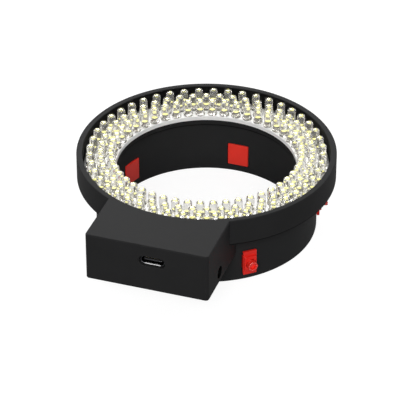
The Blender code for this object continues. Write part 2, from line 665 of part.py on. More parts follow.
def make_port(parent, steel, black):
    """The port's drawn shell and the contact tongue that stands in it."""
    inner_width = PORT_WIDTH - 2 * PORT_WALL
    inner_height = PORT_HEIGHT - 2 * PORT_WALL
    sections = [slot_outline(PORT_WIDTH, PORT_HEIGHT, -PORT_FRONT),
                slot_outline(PORT_WIDTH, PORT_HEIGHT, -PORT_REAR),
                slot_outline(inner_width, inner_height, -PORT_REAR),
                slot_outline(inner_width, inner_height, -PORT_FRONT)]
    place = (PORT_X, 0, PORT_Z)
    add_object("usb_shell", loft(sections, closed=True), parent, steel, location=place)
    base = (inner_width - 2 * SLIDE_GAP, inner_height - 2 * SLIDE_GAP)
    tongue = (TONGUE_WIDTH, TONGUE_THICKNESS)
    step = PORT_REAR + TONGUE_BASE
    levels = ((base, -PORT_REAR), (base, -step), (tongue, -step), (tongue, TONGUE_RECESS - PORT_FRONT))
    sections = [slot_outline(*size, level) for size, level in levels]
    add_object("usb_tongue", loft(sections), parent, black, location=place)


def make_dimmer(parent, black, grey):
    """The side-acting switch under the driver board and the button that presses it."""
    half = SWITCH_LENGTH / 2
    bm = block((SWITCH_INNER, -BUTTON_REACH - half, SWITCH_UNDER),
               (SWITCH_FACE, -BUTTON_REACH + half, SWITCH_TOP))
    switch = add_object("dimmer_switch", bm, parent, grey)
    stem_end = CAP_BACK - STEM_LENGTH
    hole_end = stem_end - BUTTON_TRAVEL - SEAT_GAP
    hole = rod(STEM_RADIUS + SLIDE_GAP, hole_end, SWITCH_FACE + OVERRUN)
    cut(switch, add_object("stem_hole", hole, parent, location=(0, -BUTTON_REACH, BUTTON_Z),
                           rotation=(0, pi / 2, 0)))
    profile = [(0, stem_end), (STEM_RADIUS, stem_end), (STEM_RADIUS, CAP_BACK),
               (BUTTON_RADIUS, CAP_BACK), (BUTTON_RADIUS, BUTTON_END - SLIDE_GAP),
               (BUTTON_RADIUS - SLIDE_GAP, BUTTON_END), (0, BUTTON_END)]
    profile = [(radius, place - BUTTON_END) for radius, place in profile]
    add_object("dimmer_button", turned(profile, SMALL_FACETS), parent, black,
               location=(BUTTON_END, -BUTTON_REACH, BUTTON_Z), rotation=(0, pi / 2, 0))


def make_lead_wire(name, x, parent, material):
    """A lead that lies in the floor's slot and climbs on to the driver board's top."""
    low = FLOOR_TOP - WIRE_RADIUS - SLIDE_GAP
    high = DRIVER_TOP + SEAT_GAP + WIRE_RADIUS
    inner = RIM_INNER - WIRE_LANDING
    outer = DRIVER_REAR + WIRE_LANDING
    rise_end = DRIVER_REAR - SEAT_GAP
    curve = bpy.data.curves.new(name, "CURVE")
    curve.dimensions = "3D"
    curve.bevel_depth = WIRE_RADIUS
    curve.bevel_resolution = 2
    curve.use_fill_caps = True
    spline = curve.splines.new("POLY")
    spline.points.add(WIRE_POINTS - 1)
    for k, point in enumerate(spline.points):
        reach = inner + (outer - inner) * k / (WIRE_POINTS - 1)
        share = (reach - RIM_RADIUS) / (rise_end - RIM_RADIUS)
        share = min(max(share, 0), 1)
        rise = share * share * (3 - 2 * share)
        point.co = (0, -reach, low + (high - low) * rise, 1)
    curve.materials.append(material)
    wire = bpy.data.objects.new(name, curve)
    wire.parent = parent
    wire.location = (x, 0, 0)
    bpy.context.scene.collection.objects.link(wire)


def build():
    clear_scene()
    black = make_material("black_plastic", (0.022, 0.022, 0.023), 0.55)
    collar_black = make_material("collar_plastic", (0.026, 0.026, 0.027), 0.6)
    red = make_material("red_plastic", (0.62, 0.03, 0.02), 0.4)
    white = make_material("white_board", (0.82, 0.82, 0.80), 0.5)
    steel = make_material("plated_steel", (0.62, 0.62, 0.63), 0.3, 1.0)
    green = make_material("driver_laminate", (0.02, 0.12, 0.05), 0.45)
    grey = make_material("component_grey", (0.12, 0.12, 0.13), 0.5)
    lead_red = make_material("lead_red", (0.55, 0.02, 0.02), 0.4)
    ring_axis = add_empty("ring_axis", None, (0, RING_Y, 0))
    make_light_housing(ring_axis, black)
    make_led_board(ring_axis, white)
    collar = make_mount_collar(ring_axis, collar_black)
    make_clamps(collar, ring_axis, red)
    make_box_cover(ring_axis, black)
    make_screws(ring_axis, steel)
    make_driver_board(ring_axis, green)
    make_board_parts(ring_axis, grey)
    make_port(ring_axis, steel, black)
    make_dimmer(ring_axis, black, grey)
    make_lead_wire("lead_wire_plus", WIRE_SPACING / 2, ring_axis, lead_red)
    make_lead_wire("lead_wire_minus", -WIRE_SPACING / 2, ring_axis, black)
    bpy.context.view_layer.update()


build()
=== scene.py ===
# %% [markdown]
# # A ring light for a stereo microscope
# The light stands with its lamps up. A black trough holds three rings of clear lamps on a white
# board, a control box is moulded on to one side, and red clamps in the collar underneath would
# grip the microscope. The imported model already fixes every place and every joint. The surfaces
# could be modelled from nothing and fitted afterwards, but here each one is measured from the
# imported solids, so that nothing has to be fitted.

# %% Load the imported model
import json
from math import cos, pi, radians, sin, sqrt, tan
from random import Random

import bmesh
import bpy
from mathutils import Matrix, Vector


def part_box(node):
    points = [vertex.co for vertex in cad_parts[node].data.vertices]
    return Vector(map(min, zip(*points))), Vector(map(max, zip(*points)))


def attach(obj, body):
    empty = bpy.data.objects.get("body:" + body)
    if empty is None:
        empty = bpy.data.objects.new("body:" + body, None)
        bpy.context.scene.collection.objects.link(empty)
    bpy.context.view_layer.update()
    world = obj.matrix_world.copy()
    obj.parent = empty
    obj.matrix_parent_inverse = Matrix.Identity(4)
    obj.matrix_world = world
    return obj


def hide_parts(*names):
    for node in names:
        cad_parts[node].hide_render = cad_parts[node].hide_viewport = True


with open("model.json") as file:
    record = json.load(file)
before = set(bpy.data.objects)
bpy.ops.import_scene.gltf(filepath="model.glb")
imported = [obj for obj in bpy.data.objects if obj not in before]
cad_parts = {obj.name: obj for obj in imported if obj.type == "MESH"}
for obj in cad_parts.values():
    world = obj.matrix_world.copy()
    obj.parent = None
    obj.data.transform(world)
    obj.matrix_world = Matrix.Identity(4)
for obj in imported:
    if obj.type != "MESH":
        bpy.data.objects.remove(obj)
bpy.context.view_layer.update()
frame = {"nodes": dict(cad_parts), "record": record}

MM = 0.001

# %% Measure the ring from its solids
housing_low, housing_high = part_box("light_housing")
board_low, board_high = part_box("led_board")
collar_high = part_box("mount_collar")[1]
RIM_RADIUS = housing_high.x
RIM_TOP = housing_high.z
AXIS_Y = housing_high.y - RIM_RADIUS
BOX_FRONT = housing_low.y
BOX_UNDER = housing_low.z
BOARD_RADIUS = board_high.x
BOARD_UNDER = board_low.z
LAMP_TOP = board_high.z
COLLAR_RADIUS = collar_high.x
COLLAR_TOP = collar_high.z
SEAT_GAP = 0.3 * MM                    # left between two pieces that rest on each other
print("rim radius", round(RIM_RADIUS / MM, 2), "axis at y", round(AXIS_Y / MM, 2), "mm")

# %% [markdown]
# ## Shader maths
# A finish is a small network of nodes. The nodes could be made and linked one by one, which takes
# four lines for each sum. Wrapping a socket in a class that knows + - * < > lets a finish be
# written as the formula it is, and each operator adds its Math node.

# %% A socket that can be added, scaled and compared
class Socket:
    """One output of a shader node, on which sums are written as on a number."""

    def __init__(self, finish, output):
        self.finish = finish
        self.output = output

    def maths(self, operation, *values):
        settings = {"operation": operation}
        return self.finish.add("ShaderNodeMath", settings, dict(enumerate(values)))

    def __add__(self, other):
        return self.maths("ADD", self, other)

    def __sub__(self, other):
        return self.maths("SUBTRACT", self, other)

    def __rsub__(self, other):
        return self.maths("SUBTRACT", other, self)

    def __mul__(self, other):
        return self.maths("MULTIPLY", self, other)

    def __lt__(self, other):
        return self.maths("LESS_THAN", self, other)

    def __gt__(self, other):
        return self.maths("GREATER_THAN", self, other)

    def __abs__(self):
        return self.maths("ABSOLUTE", self)

    def at_least(self, limit):
        return self.maths("MAXIMUM", self, limit)

    def at_most(self, limit):
        return self.maths("MINIMUM", self, limit)

    __radd__ = __add__
    __rmul__ = __mul__


# %% A finish that grows node by node
class Finish:
    """The node tree of a material or of the world, and the one way to add a node to it."""

    def __init__(self, owner, output_kind="ShaderNodeOutputMaterial"):
        owner.use_nodes = True
        self.owner = owner
        self.tree = owner.node_tree
        self.tree.nodes.clear()
        self.end = self.tree.nodes.new(output_kind)

    def add(self, kind, settings=None, sockets=None, output=0):
        node = self.tree.nodes.new(kind)
        for name, value in (settings or {}).items():
            setattr(node, name, value)
        for name, value in (sockets or {}).items():
            if isinstance(value, Socket):
                self.tree.links.new(value.output, node.inputs[name])
            else:
                node.inputs[name].default_value = value
        return Socket(self, node.outputs[output])

    def mix_colour(self, share, first, second):
        """Blends two colours, each of them either three numbers or a socket."""
        first, second = (colour if isinstance(colour, Socket) else (*colour, 1)
                         for colour in (first, second))
        return self.add("ShaderNodeMix", {"data_type": "RGBA"}, {0: share, 6: first, 7: second}, 2)

    def coordinates(self):
        return self.add("ShaderNodeTexCoord", output="Object")

    def along(self, axis):
        """How far along the axis X, Y or Z a point lies."""
        return self.add("ShaderNodeSeparateXYZ", {}, {0: self.coordinates()}, axis)

    def reach_from(self, centre, axes):
        """How far a point lies from a centre, where only axes with a one are counted."""
        offset = self.add("ShaderNodeVectorMath", {"operation": "MULTIPLY_ADD"},
                          {0: self.coordinates(), 1: axes, 2: [-kept * c for kept, c in zip(axes, centre)]})
        return self.add("ShaderNodeVectorMath", {"operation": "LENGTH"}, {0: offset}, "Value")

    def noise(self, size, detail=2.0):
        """Soft random patches of about this size, from 0 to 1."""
        return self.add("ShaderNodeTexNoise", {},
                        {"Vector": self.coordinates(), "Scale": 1 / size, "Detail": detail})

    def bump(self, height, depth, strength):
        return self.add("ShaderNodeBump", {}, {"Height": height, "Distance": depth, "Strength": strength})

    def show(self, shader):
        self.tree.links.new(shader.output, self.end.inputs["Surface"])
        return self.owner

    def surface(self, sockets):
        """Ends the network in one Principled shader and hands its material back."""
        return self.show(self.add("ShaderNodeBsdfPrincipled", {}, sockets))


def new_finish(name):
    return Finish(bpy.data.materials.new(name))


# %% [markdown]
# ## Moulded plastic
# The housing, the collar and the red clamps are moulded from plastic in a steel mould whose
# face was etched, so the parts have a very fine matt grain and soft, slow changes of tone. The
# pads are painted palest of the red parts, as painted light, and the screws are the glossiest.
# The grain could be carved into the mesh, but at a fifth of a millimetre it would need millions
# of faces. A noise that feeds a bump gives the same look in every light.

# %% The moulded plastics
GRAIN = 0.22 * MM
CLOUD = 9 * MM
UNLIT = (0.001, 0.001, 0.001)


def moulded_plastic(name, dark, pale, roughness, gloss, grain_depth, unlit_places=None):
    """Plastic from an etched mould: dark and pale are the ends of its slow change of tone."""
    finish = new_finish(name)
    grain = finish.noise(GRAIN, 3.0)
    cloud = finish.noise(CLOUD, 4.0)
    tone = finish.mix_colour(cloud * 0.7 + grain * 0.3, dark, pale)
    # painted shade: the places that unlit_places picks out are coloured all but black
    if unlit_places:
        tone = finish.mix_colour(unlit_places(finish), tone, UNLIT)
    return finish.surface({
        "Base Color": tone,
        "Roughness": roughness - 0.06 + grain * 0.08 + cloud * 0.04,
        "Specular IOR Level": gloss,
        "Normal": finish.bump(grain, grain_depth, 0.6),
    })


BLACK = {"dark": (0.015, 0.015, 0.0155), "pale": (0.023, 0.023, 0.0235),
         "roughness": 0.62, "gloss": 0.075, "grain_depth": 0.012 * MM}
black_plastic = moulded_plastic("black_moulding", **BLACK)
collar_plastic = moulded_plastic("collar_moulding", (0.018, 0.0185, 0.019), (0.026, 0.0265, 0.027),
                                 roughness=0.60, gloss=0.075, grain_depth=0.010 * MM)
red_plastic = moulded_plastic("red_moulding", (0.78, 0.018, 0.012), (0.86, 0.026, 0.016),
                              roughness=0.32, gloss=0.40, grain_depth=0.006 * MM)
# painted light: the same red plastic, coloured paler for the pads
pad_plastic_painted_light = moulded_plastic("red_pad_moulding_painted_light", (0.90, 0.034, 0.020), (0.96, 0.042, 0.026),
                              roughness=0.36, gloss=0.40, grain_depth=0.006 * MM)
screw_plastic = moulded_plastic("red_screw_moulding", (0.84, 0.020, 0.012), (0.92, 0.030, 0.016),
                                roughness=0.13, gloss=1.0, grain_depth=0.003 * MM)
plastics = (black_plastic, collar_plastic, red_plastic, pad_plastic_painted_light, screw_plastic)
print("plastics made:", [plastic.name for plastic in plastics])

# %% [markdown]
# ## Metals
# Screws and lamp leads are plated steel, and the port's contacts are gold plated. Bright metal
# is nearly all reflection, so its look comes from how its roughness changes. The streaks of the
# drawing die could be added too, but a few duller patches are enough at this size.

# %% The plated metals
def plated_metal(name, colour, roughness, patch):
    """Plated metal with a fine unevenness and duller patches of about the given size."""
    finish = new_finish(name)
    dull = finish.noise(patch, 3.0)
    return finish.surface({
        "Base Color": finish.mix_colour(dull, colour, [0.8 * c for c in colour]),
        "Metallic": 1.0,
        "Roughness": roughness - 0.05 + dull * 0.12,
        "Normal": finish.bump(finish.noise(patch / 5), 0.004 * MM, 0.4),
    })


screw_steel = plated_metal("screw_steel", (0.60, 0.60, 0.61), roughness=0.30, patch=0.6 * MM)
lead_metal = plated_metal("lead_metal", (0.50, 0.48, 0.44), roughness=0.22, patch=0.5 * MM)
contact_gold = plated_metal("contact_gold", (0.92, 0.74, 0.42), roughness=0.22, patch=0.5 * MM)
print("metals made:", screw_steel.name, lead_metal.name, contact_gold.name)

# %% [markdown]
# ## Mesh helpers
# Every piece here is either turned round an axis, lofted through level outlines, or cut from
# such shapes. Blender's own bevel modifier could round the edges, but on a shape that Booleans
# have cut it leaves small faults, so the roundings are drawn in the outlines instead. Of the
# Boolean solvers the manifold one is used: it keeps each shape closed, as long as every shape
# that goes into it is closed and has its faces turned outwards.

# %% Round the corners of an outline
CORNER_STEPS = 5


def rounded_outline(corners):
    """Walks round corners of (across, along, fillet radius) and rounds each with a short arc."""
    outline = []
    for k, (x, y, radius) in enumerate(corners):
        corner = Vector((x, y))
        if not radius:
            outline.append(tuple(corner))
            continue
        back = (Vector(corners[k - 1][:2]) - corner).normalized()
        on = (Vector(corners[(k + 1) % len(corners)][:2]) - corner).normalized()
        half = back.angle(on) / 2
        centre = corner + (back + on).normalized() * radius / sin(half)
        first = corner + back * radius / tan(half) - centre
        last = corner + on * radius / tan(half) - centre
        for step in range(CORNER_STEPS + 1):
            outline.append(tuple(centre + first.slerp(last, step / CORNER_STEPS) * radius))
    return outline


# %% Turn, loft and stack
MERGE = 0.0005 * MM
RING_FACETS = 288
FINE_FACETS = 48
EDGE_STEPS = 4


def turned(profile, facets=FINE_FACETS, closed=False):
    """Spins a profile of (radius, height) points round Z; an open one starts and ends on it."""
    bm = bmesh.new()
    verts = [bm.verts.new((radius, 0, height)) for radius, height in profile]
    following = verts[1:] + verts[:1] if closed else verts[1:]
    edges = [bm.edges.new(pair) for pair in zip(verts, following)]
    bmesh.ops.spin(bm, geom=verts + edges, cent=(0, 0, 0), axis=(0, 0, 1), angle=2 * pi,
                   steps=facets, use_merge=True)
    bmesh.ops.remove_doubles(bm, verts=bm.verts, dist=MERGE)
    return bm


def rod(radius, low, high):
    """The plain cutter for a round hole."""
    return turned([(0, low), (radius, low), (radius, high), (0, high)])


def loft(sections, closed=False):
    """Skins sections of equally many points; a closed loft returns to its first section."""
    bm = bmesh.new()
    rings = [[bm.verts.new(point) for point in section] for section in sections]
    following = rings[1:] + rings[:1] if closed else rings[1:]
    for ring, after in zip(rings, following):
        for k in range(len(ring)):
            j = (k + 1) % len(ring)
            bm.faces.new((ring[k], ring[j], after[j], after[k]))
    if not closed:
        bm.faces.new(rings[0])
        bm.faces.new(rings[-1])
    return bm


def quarter_turn(steps):
    """Angles from nought to a right angle, with both ends."""
    return [pi / 2 * k / steps for k in range(steps + 1)]


def soft_block(width, depth, low, high, corner, edge):
    """A block round Z with rounded corners, and with its top and bottom edges rounded too."""
    ends = quarter_turn(EDGE_STEPS)
    levels = [(low + edge * (1 - cos(a)), edge * (1 - sin(a))) for a in ends]
    levels += [(high - edge * (1 - cos(a)), edge * (1 - sin(a))) for a in reversed(ends)]
    sections = []
    for level, inset in levels:
        x, y, radius = width / 2 - inset, depth / 2 - inset, corner - inset
        outline = rounded_outline([(-x, -y, radius), (x, -y, radius), (x, y, radius), (-x, y, radius)])
        sections.append([(across, along, level) for across, along in outline])
    return loft(sections)


# %% Make, cut and join objects
def mesh_object(name, bm, place=None):
    """Turns a BMesh into an object whose faces look outwards, as the Booleans need."""
    if place is not None:
        bm.transform(place)
    bmesh.ops.recalc_face_normals(bm, faces=bm.faces)
    if bm.calc_volume(signed=True) < 0:
        bmesh.ops.reverse_faces(bm, faces=bm.faces)
    mesh = bpy.data.meshes.new(name)
    bm.to_mesh(mesh)
    bm.free()
    obj = bpy.data.objects.new(name, mesh)
    bpy.context.scene.collection.objects.link(obj)
    return obj


def shaped(target, tools, operation):
    """Joins each tool to the target, or cuts it away, and then removes the tools."""
    for tool in tools:
        modifier = target.modifiers.new(tool.name, "BOOLEAN")
        modifier.operation = operation
        modifier.solver = "MANIFOLD"
        modifier.object = tool
    bpy.context.view_layer.update()
    evaluated = target.evaluated_get(bpy.context.evaluated_depsgraph_get())
    mesh = bpy.data.meshes.new_from_object(evaluated)
    target.modifiers.clear()
    target.data = mesh
    print(target.name, operation.lower(), [tool.name for tool in tools])
    for tool in tools:
        bpy.data.objects.remove(tool)


def cut(target, *tools):
    shaped(target, tools, "DIFFERENCE")


def fuse(target, *tools):
    shaped(target, tools, "UNION")


def shift(x=0.0, y=0.0, z=0.0):
    return Matrix.Translation((x, y, z))


# %% Finish a piece
SMOOTH_ANGLE = radians(34)


def dress(obj, material, slot, body, *nodes):
    """Smooths and paints a piece, hangs it on its body and lets it stand for its solids."""
    obj.data.materials.clear()
    obj.data.materials.append(material)
    obj.data.shade_smooth()
    obj.data.set_sharp_from_angle(angle=SMOOTH_ANGLE)
    weighted = obj.modifiers.new("even_normals", "WEIGHTED_NORMAL")
    weighted.keep_sharp = True
    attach(obj, body)
    if nodes:
        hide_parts(*nodes)
    print(obj.name, "has", len(obj.data.polygons), "faces")


# %% [markdown]
# ## The light housing
# One moulding makes the rim, the trough that the lamp board lies in, and the control box, whose
# top runs into the rim's without a line. The ring could be joined to the box with a modifier
# that stays live, but applying the Booleans gives one clean closed mesh. The ring is turned from
# its cross section, and its edges have the small roundings that catch the light.

# %% Turn the ring
RIM_WALL = 2.2 * MM
FLOOR_THICKNESS = 2.2 * MM
FLOOR_WIDTH = 14.0 * MM
FLOOR_TOP = BOARD_UNDER - SEAT_GAP
FLOOR_UNDER = FLOOR_TOP - FLOOR_THICKNESS
FLOOR_BORE = RIM_RADIUS - FLOOR_WIDTH
RIM_EDGE = 0.4 * MM
INNER_EDGE = 0.3 * MM
ring_profile = rounded_outline([
    (FLOOR_BORE, FLOOR_UNDER, INNER_EDGE),
    (RIM_RADIUS, FLOOR_UNDER, INNER_EDGE),
    (RIM_RADIUS, RIM_TOP, RIM_EDGE),
    (RIM_RADIUS - RIM_WALL, RIM_TOP, INNER_EDGE),
    (RIM_RADIUS - RIM_WALL, FLOOR_TOP, INNER_EDGE),
    (FLOOR_BORE, FLOOR_TOP, INNER_EDGE),
])
on_axis = shift(y=AXIS_Y)
housing = mesh_object("housing_shell", turned(ring_profile, RING_FACETS, closed=True), on_axis)
print("floor bore", round(FLOOR_BORE / MM, 2), "mm")

# %% Mould the box on to the ring
BOX_HALF = 22.4 * MM
BOX_CORNER = 1.2 * MM
BOX_EDGE = 0.45 * MM
BOX_WALL = 2.0 * MM
PAST = 4 * MM                          # how far a cutter runs past what it cuts
box_back = AXIS_Y - FLOOR_BORE
back_radius = COLLAR_RADIUS + SEAT_GAP


def stepped_core(upper, lower, step):
    """A core on the lens axis with one radius above the step and another below it."""
    profile = [(0, -PAST), (lower, -PAST), (lower, step), (upper, step),
               (upper, RIM_TOP + PAST), (0, RIM_TOP + PAST)]
    return mesh_object("core", turned(profile, RING_FACETS), on_axis)


def middle_block(name, half, front, back, low, high, corner, edge):
    """A soft block in the middle of the box that runs from a front to a back."""
    block = soft_block(2 * half, back - front, low, high, corner, edge)
    return mesh_object(name, block, shift(y=(front + back) / 2))


box_shell = middle_block("box_shell", BOX_HALF, BOX_FRONT, box_back, BOX_UNDER, RIM_TOP,
                         BOX_CORNER, BOX_EDGE)
cut(box_shell, stepped_core(RIM_RADIUS - RIM_WALL / 2, back_radius, (FLOOR_TOP + FLOOR_UNDER) / 2))
fuse(housing, box_shell)

# %% Hollow the box
BACK_WALL = 1.8 * MM                   # between the collar and the inside of the box
CAVITY_CORNER = 0.7 * MM
CAVITY_EDGE = 0.3 * MM
cavity_front = BOX_FRONT + BOX_WALL
cavity_top = RIM_TOP - BOX_WALL
cavity = middle_block("cavity", BOX_HALF - BOX_WALL, cavity_front, box_back, BOX_UNDER - PAST, cavity_top,
                      CAVITY_CORNER, CAVITY_EDGE)
cut(cavity, stepped_core(RIM_RADIUS, back_radius + BACK_WALL, FLOOR_UNDER))
cut(housing, cavity)

# %% Posts for the cover and bosses for the driver board
cover_low, cover_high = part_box("box_cover")
POST_RADIUS = 2.2 * MM
POST_EDGE = 0.25 * MM


def middle_of(node):
    low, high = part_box(node)
    return (low + high) / 2


def upright_at(node):
    """Moves a turned piece on to the upright axis through a node's middle."""
    middle = middle_of(node)
    return shift(middle.x, middle.y)


def post(screw, foot):
    """A round post that hangs from the box top over a screw and widens where they meet."""
    root = POST_RADIUS + 2 * POST_EDGE
    profile = [(0, foot), (POST_RADIUS - POST_EDGE, foot), (POST_RADIUS, foot + POST_EDGE),
               (POST_RADIUS, cavity_top - 2 * POST_EDGE), (root, cavity_top),
               (root, cavity_top + POST_EDGE), (0, cavity_top + POST_EDGE)]
    return mesh_object("post", turned(profile), upright_at(screw))


cover_screws = [f"cover_screw_{k}" for k in range(1, 5)]
board_screws = [f"board_screw_{k}" for k in range(1, 3)]
posts = [post(screw, cover_high.z + SEAT_GAP) for screw in cover_screws]
posts += [post(screw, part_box("driver_board")[1].z + SEAT_GAP) for screw in board_screws]
fuse(housing, *posts)

# %% Screw holes and the button's hole
SCREW_HOLE = 1.3 * MM
POINT_ROOM = 0.8 * MM                  # left past a screw's point
BUTTON_PLACE = middle_of("dimmer_button")
BUTTON_PLACE.x = BOX_HALF
HOLE_RADIUS = 2.25 * MM
HOLE_EDGE = 0.15 * MM
SIDEWAYS = Matrix.Rotation(pi / 2, 4, "Y")


def blind_hole(screw):
    low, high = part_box(screw)
    return mesh_object("screw_hole", rod(SCREW_HOLE, low.z - PAST, high.z + POINT_ROOM), upright_at(screw))


cut(housing, *(blind_hole(screw) for screw in cover_screws + board_screws))
side_hole = turned([(0, -BOX_WALL - SEAT_GAP), (HOLE_RADIUS, -BOX_WALL - SEAT_GAP),
                    (HOLE_RADIUS, -HOLE_EDGE), (HOLE_RADIUS + PAST, PAST - HOLE_EDGE),
                    (0, PAST - HOLE_EDGE)])
cut(housing, mesh_object("button_hole", side_hole, Matrix.Translation(BUTTON_PLACE) @ SIDEWAYS))

# %% The port's opening in the front wall
shell_low, shell_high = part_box("usb_shell")
PORT_X, _, PORT_Z = middle_of("usb_shell")
PORT_WIDTH, _, PORT_HEIGHT = shell_high - shell_low
PORT_EDGE = 0.2 * MM
SLOT_STEPS = 16


def slot_outline(width, height, place):
    """An upright rounded slot in the X-Z plane at Y = place, centred on the port."""
    radius = height / 2
    half = width / 2 - radius
    points = []
    for side in (1, -1):
        for k in range(SLOT_STEPS + 1):
            angle = pi * k / SLOT_STEPS - pi / 2
            points.append((PORT_X + side * (half + radius * cos(angle)), place,
                           PORT_Z + side * radius * sin(angle)))
    return points


def port_outline(growth, place):
    """The outline of the port's shell, grown all round."""
    return slot_outline(PORT_WIDTH + 2 * growth, PORT_HEIGHT + 2 * growth, place)


port_opening = loft([
    port_outline(SEAT_GAP + 2 * PORT_EDGE, BOX_FRONT - PORT_EDGE),
    port_outline(SEAT_GAP, BOX_FRONT + PORT_EDGE),
    port_outline(SEAT_GAP, cavity_front + SEAT_GAP),
])
cut(housing, mesh_object("port_opening", port_opening))

# %% Countersunk holes for the collar's screws, and the slot for the two leads
collar_screws = [f"collar_screw_{k}" for k in range(1, 5)]
HEAD_RADIUS = 2.2 * MM
HEAD_HEIGHT = 1.2 * MM
SHANK_HOLE = 1.4 * MM
SLOT_CORNER = 0.3 * MM
SLOT_EDGE = 0.05 * MM


def countersink(screw, shank, head_radius, head_height, face, inwards):
    """The cutter of a screw hole with a cone for the head; inwards is -1 down from its face."""
    slope = (head_radius + SEAT_GAP - shank) / head_height
    profile = [(0, -PAST), (shank + slope * (head_height + PAST), -PAST), (shank, head_height),
               (shank, PAST), (0, PAST)]
    cutter = turned([(radius, face + inwards * depth) for radius, depth in profile])
    return mesh_object("countersink", cutter, upright_at(screw))


wire_low, wire_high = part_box("lead_wire_minus")
wire_slot = middle_block("wire_slot", -wire_low.x + SEAT_GAP, AXIS_Y - RIM_RADIUS - SEAT_GAP,
                         wire_high.y + SEAT_GAP, wire_low.z - SEAT_GAP, FLOOR_TOP + SEAT_GAP,
                         SLOT_CORNER, SLOT_EDGE)
cut(housing, wire_slot,
    *(countersink(screw, SHANK_HOLE, HEAD_RADIUS, HEAD_HEIGHT, FLOOR_TOP, -1) for screw in collar_screws))

# %% [markdown]
# ## The housing's paint
# Black plastic goes all but quite black where no light comes, and the finish paints that shade on:
# a painted shade line along the floor's lower edges, and painted shade on the trough's wall behind
# the lamps and in the button's hole. Deep gaps do that by themselves, but soft studio light reaches
# far into these, so the finish finds the places by their distance from an axis and paints them dark.

# %% Paint the housing
# the width of the painted shade line along the floor's lower edges
SHADE_LINE_WIDTH = 0.45 * MM
TROUGH_SHADE = 0.85


def dark_places(finish):
    """One where next to no light comes: low edges, the trough's wall and the button's hole."""
    reach = finish.reach_from((0, AXIS_Y, 0), (1, 1, 0))
    height = finish.along("Z")
    near_edge = (abs(reach - RIM_RADIUS) < SHADE_LINE_WIDTH) + (abs(reach - FLOOR_BORE) < SHADE_LINE_WIDTH)
    low_edge = near_edge * (height < FLOOR_UNDER + SHADE_LINE_WIDTH) * (height > FLOOR_UNDER - MERGE)
    on_wall = abs(reach - RIM_RADIUS + RIM_WALL) < INNER_EDGE / 4
    trough_wall = on_wall * (height < RIM_TOP - INNER_EDGE)
    in_hole = finish.reach_from(BUTTON_PLACE, (0, 1, 1)) < HOLE_RADIUS + HOLE_EDGE / 2
    hole = in_hole * (finish.along("X") > BOX_HALF - BOX_WALL - HOLE_EDGE)
    return low_edge + trough_wall * TROUGH_SHADE + hole


housing_plastic = moulded_plastic("housing_moulding", **BLACK, unlit_places=dark_places)
dress(housing, housing_plastic, "black_plastic", "housing", "light_housing")

# %% [markdown]
# ## The mount collar
# The collar is the tube that goes over the microscope's objective. It is a separate moulding,
# screwed up under the floor, with a pocket for each clamp pad in its bore and a window for each
# clamp nut in its wall. It is turned like the ring, and then five sets of cutters that lie along
# the clamps' own axes make the pockets. The axes could be typed in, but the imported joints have
# them already.

# %% Turn the collar and find the clamps' axes
COLLAR_WALL = 5.7 * MM
COLLAR_BORE = COLLAR_RADIUS - COLLAR_WALL
COLLAR_EDGE = 0.3 * MM
COLLAR_TOP_EDGE = 0.15 * MM
joints = {joint["name"]: joint for joint in frame["record"]["behaviour"]["joints"]}


def flat_ring(name, bore, radius, low, high, low_edge, high_edge):
    """A ring round the lens axis with small roundings on its lower and upper edges."""
    profile = rounded_outline([(bore, low, low_edge), (radius, low, low_edge),
                               (radius, high, high_edge), (bore, high, high_edge)])
    return mesh_object(name, turned(profile, RING_FACETS, closed=True), on_axis)


def clamp_place(number):
    """Turns +Z to point out from the lens axis along a clamp's joint, and +Y to point down."""
    joint = joints[f"pad_slide_{number}"]
    outward = -Vector(joint["axis"])
    down = Vector((0, 0, -1))
    turn = Matrix((down.cross(outward), down, outward)).transposed()
    return Matrix.Translation((0, AXIS_Y, joint["pos_m"][2])) @ turn.to_4x4()


collar = flat_ring("collar_tube", COLLAR_BORE, COLLAR_RADIUS, 0, COLLAR_TOP, COLLAR_EDGE, COLLAR_TOP_EDGE)
CLAMPS = range(1, 6)
print("clamps lie at height", round(joints["pad_slide_1"]["pos_m"][2] / MM, 2), "mm")

# %% Cut the pockets, the windows and the screws' pilot holes
PAD_SIZE = (8.0 * MM, 8.8 * MM)
PAD_DEPTH = 3.2 * MM
PAD_FACE = COLLAR_BORE - 0.4 * MM
PAD_BACK = PAD_FACE + PAD_DEPTH
NUT_SIZE = (4.8 * MM, 5.4 * MM)
PLATE_SIZE = (5.1 * MM, 9.7 * MM)
SLIDE_GAP = 0.25 * MM
OPENING_CORNER = 0.3 * MM
OPENING_EDGE = 0.02 * MM


def clamp_opening(number, size, gap, low, high):
    width, height = size
    block = soft_block(width + 2 * gap, height + 2 * gap, low, high, OPENING_CORNER, OPENING_EDGE)
    return mesh_object("opening", block, clamp_place(number))


def pilot_hole(screw):
    low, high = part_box(screw)
    return mesh_object("pilot_hole", rod(SHANK_HOLE, low.z - POINT_ROOM, high.z), upright_at(screw))


for k in CLAMPS:
    cut(collar,
        clamp_opening(k, PAD_SIZE, SLIDE_GAP, COLLAR_BORE - PAST, PAD_BACK + SEAT_GAP),
        clamp_opening(k, NUT_SIZE, SEAT_GAP, PAD_BACK, COLLAR_RADIUS + PAST),
        clamp_opening(k, PLATE_SIZE, SLIDE_GAP, COLLAR_RADIUS - SEAT_GAP, COLLAR_RADIUS + PAST))
cut(collar, *(pilot_hole(screw) for screw in collar_screws))
dress(collar, collar_plastic, "collar_plastic", "housing", "mount_collar")
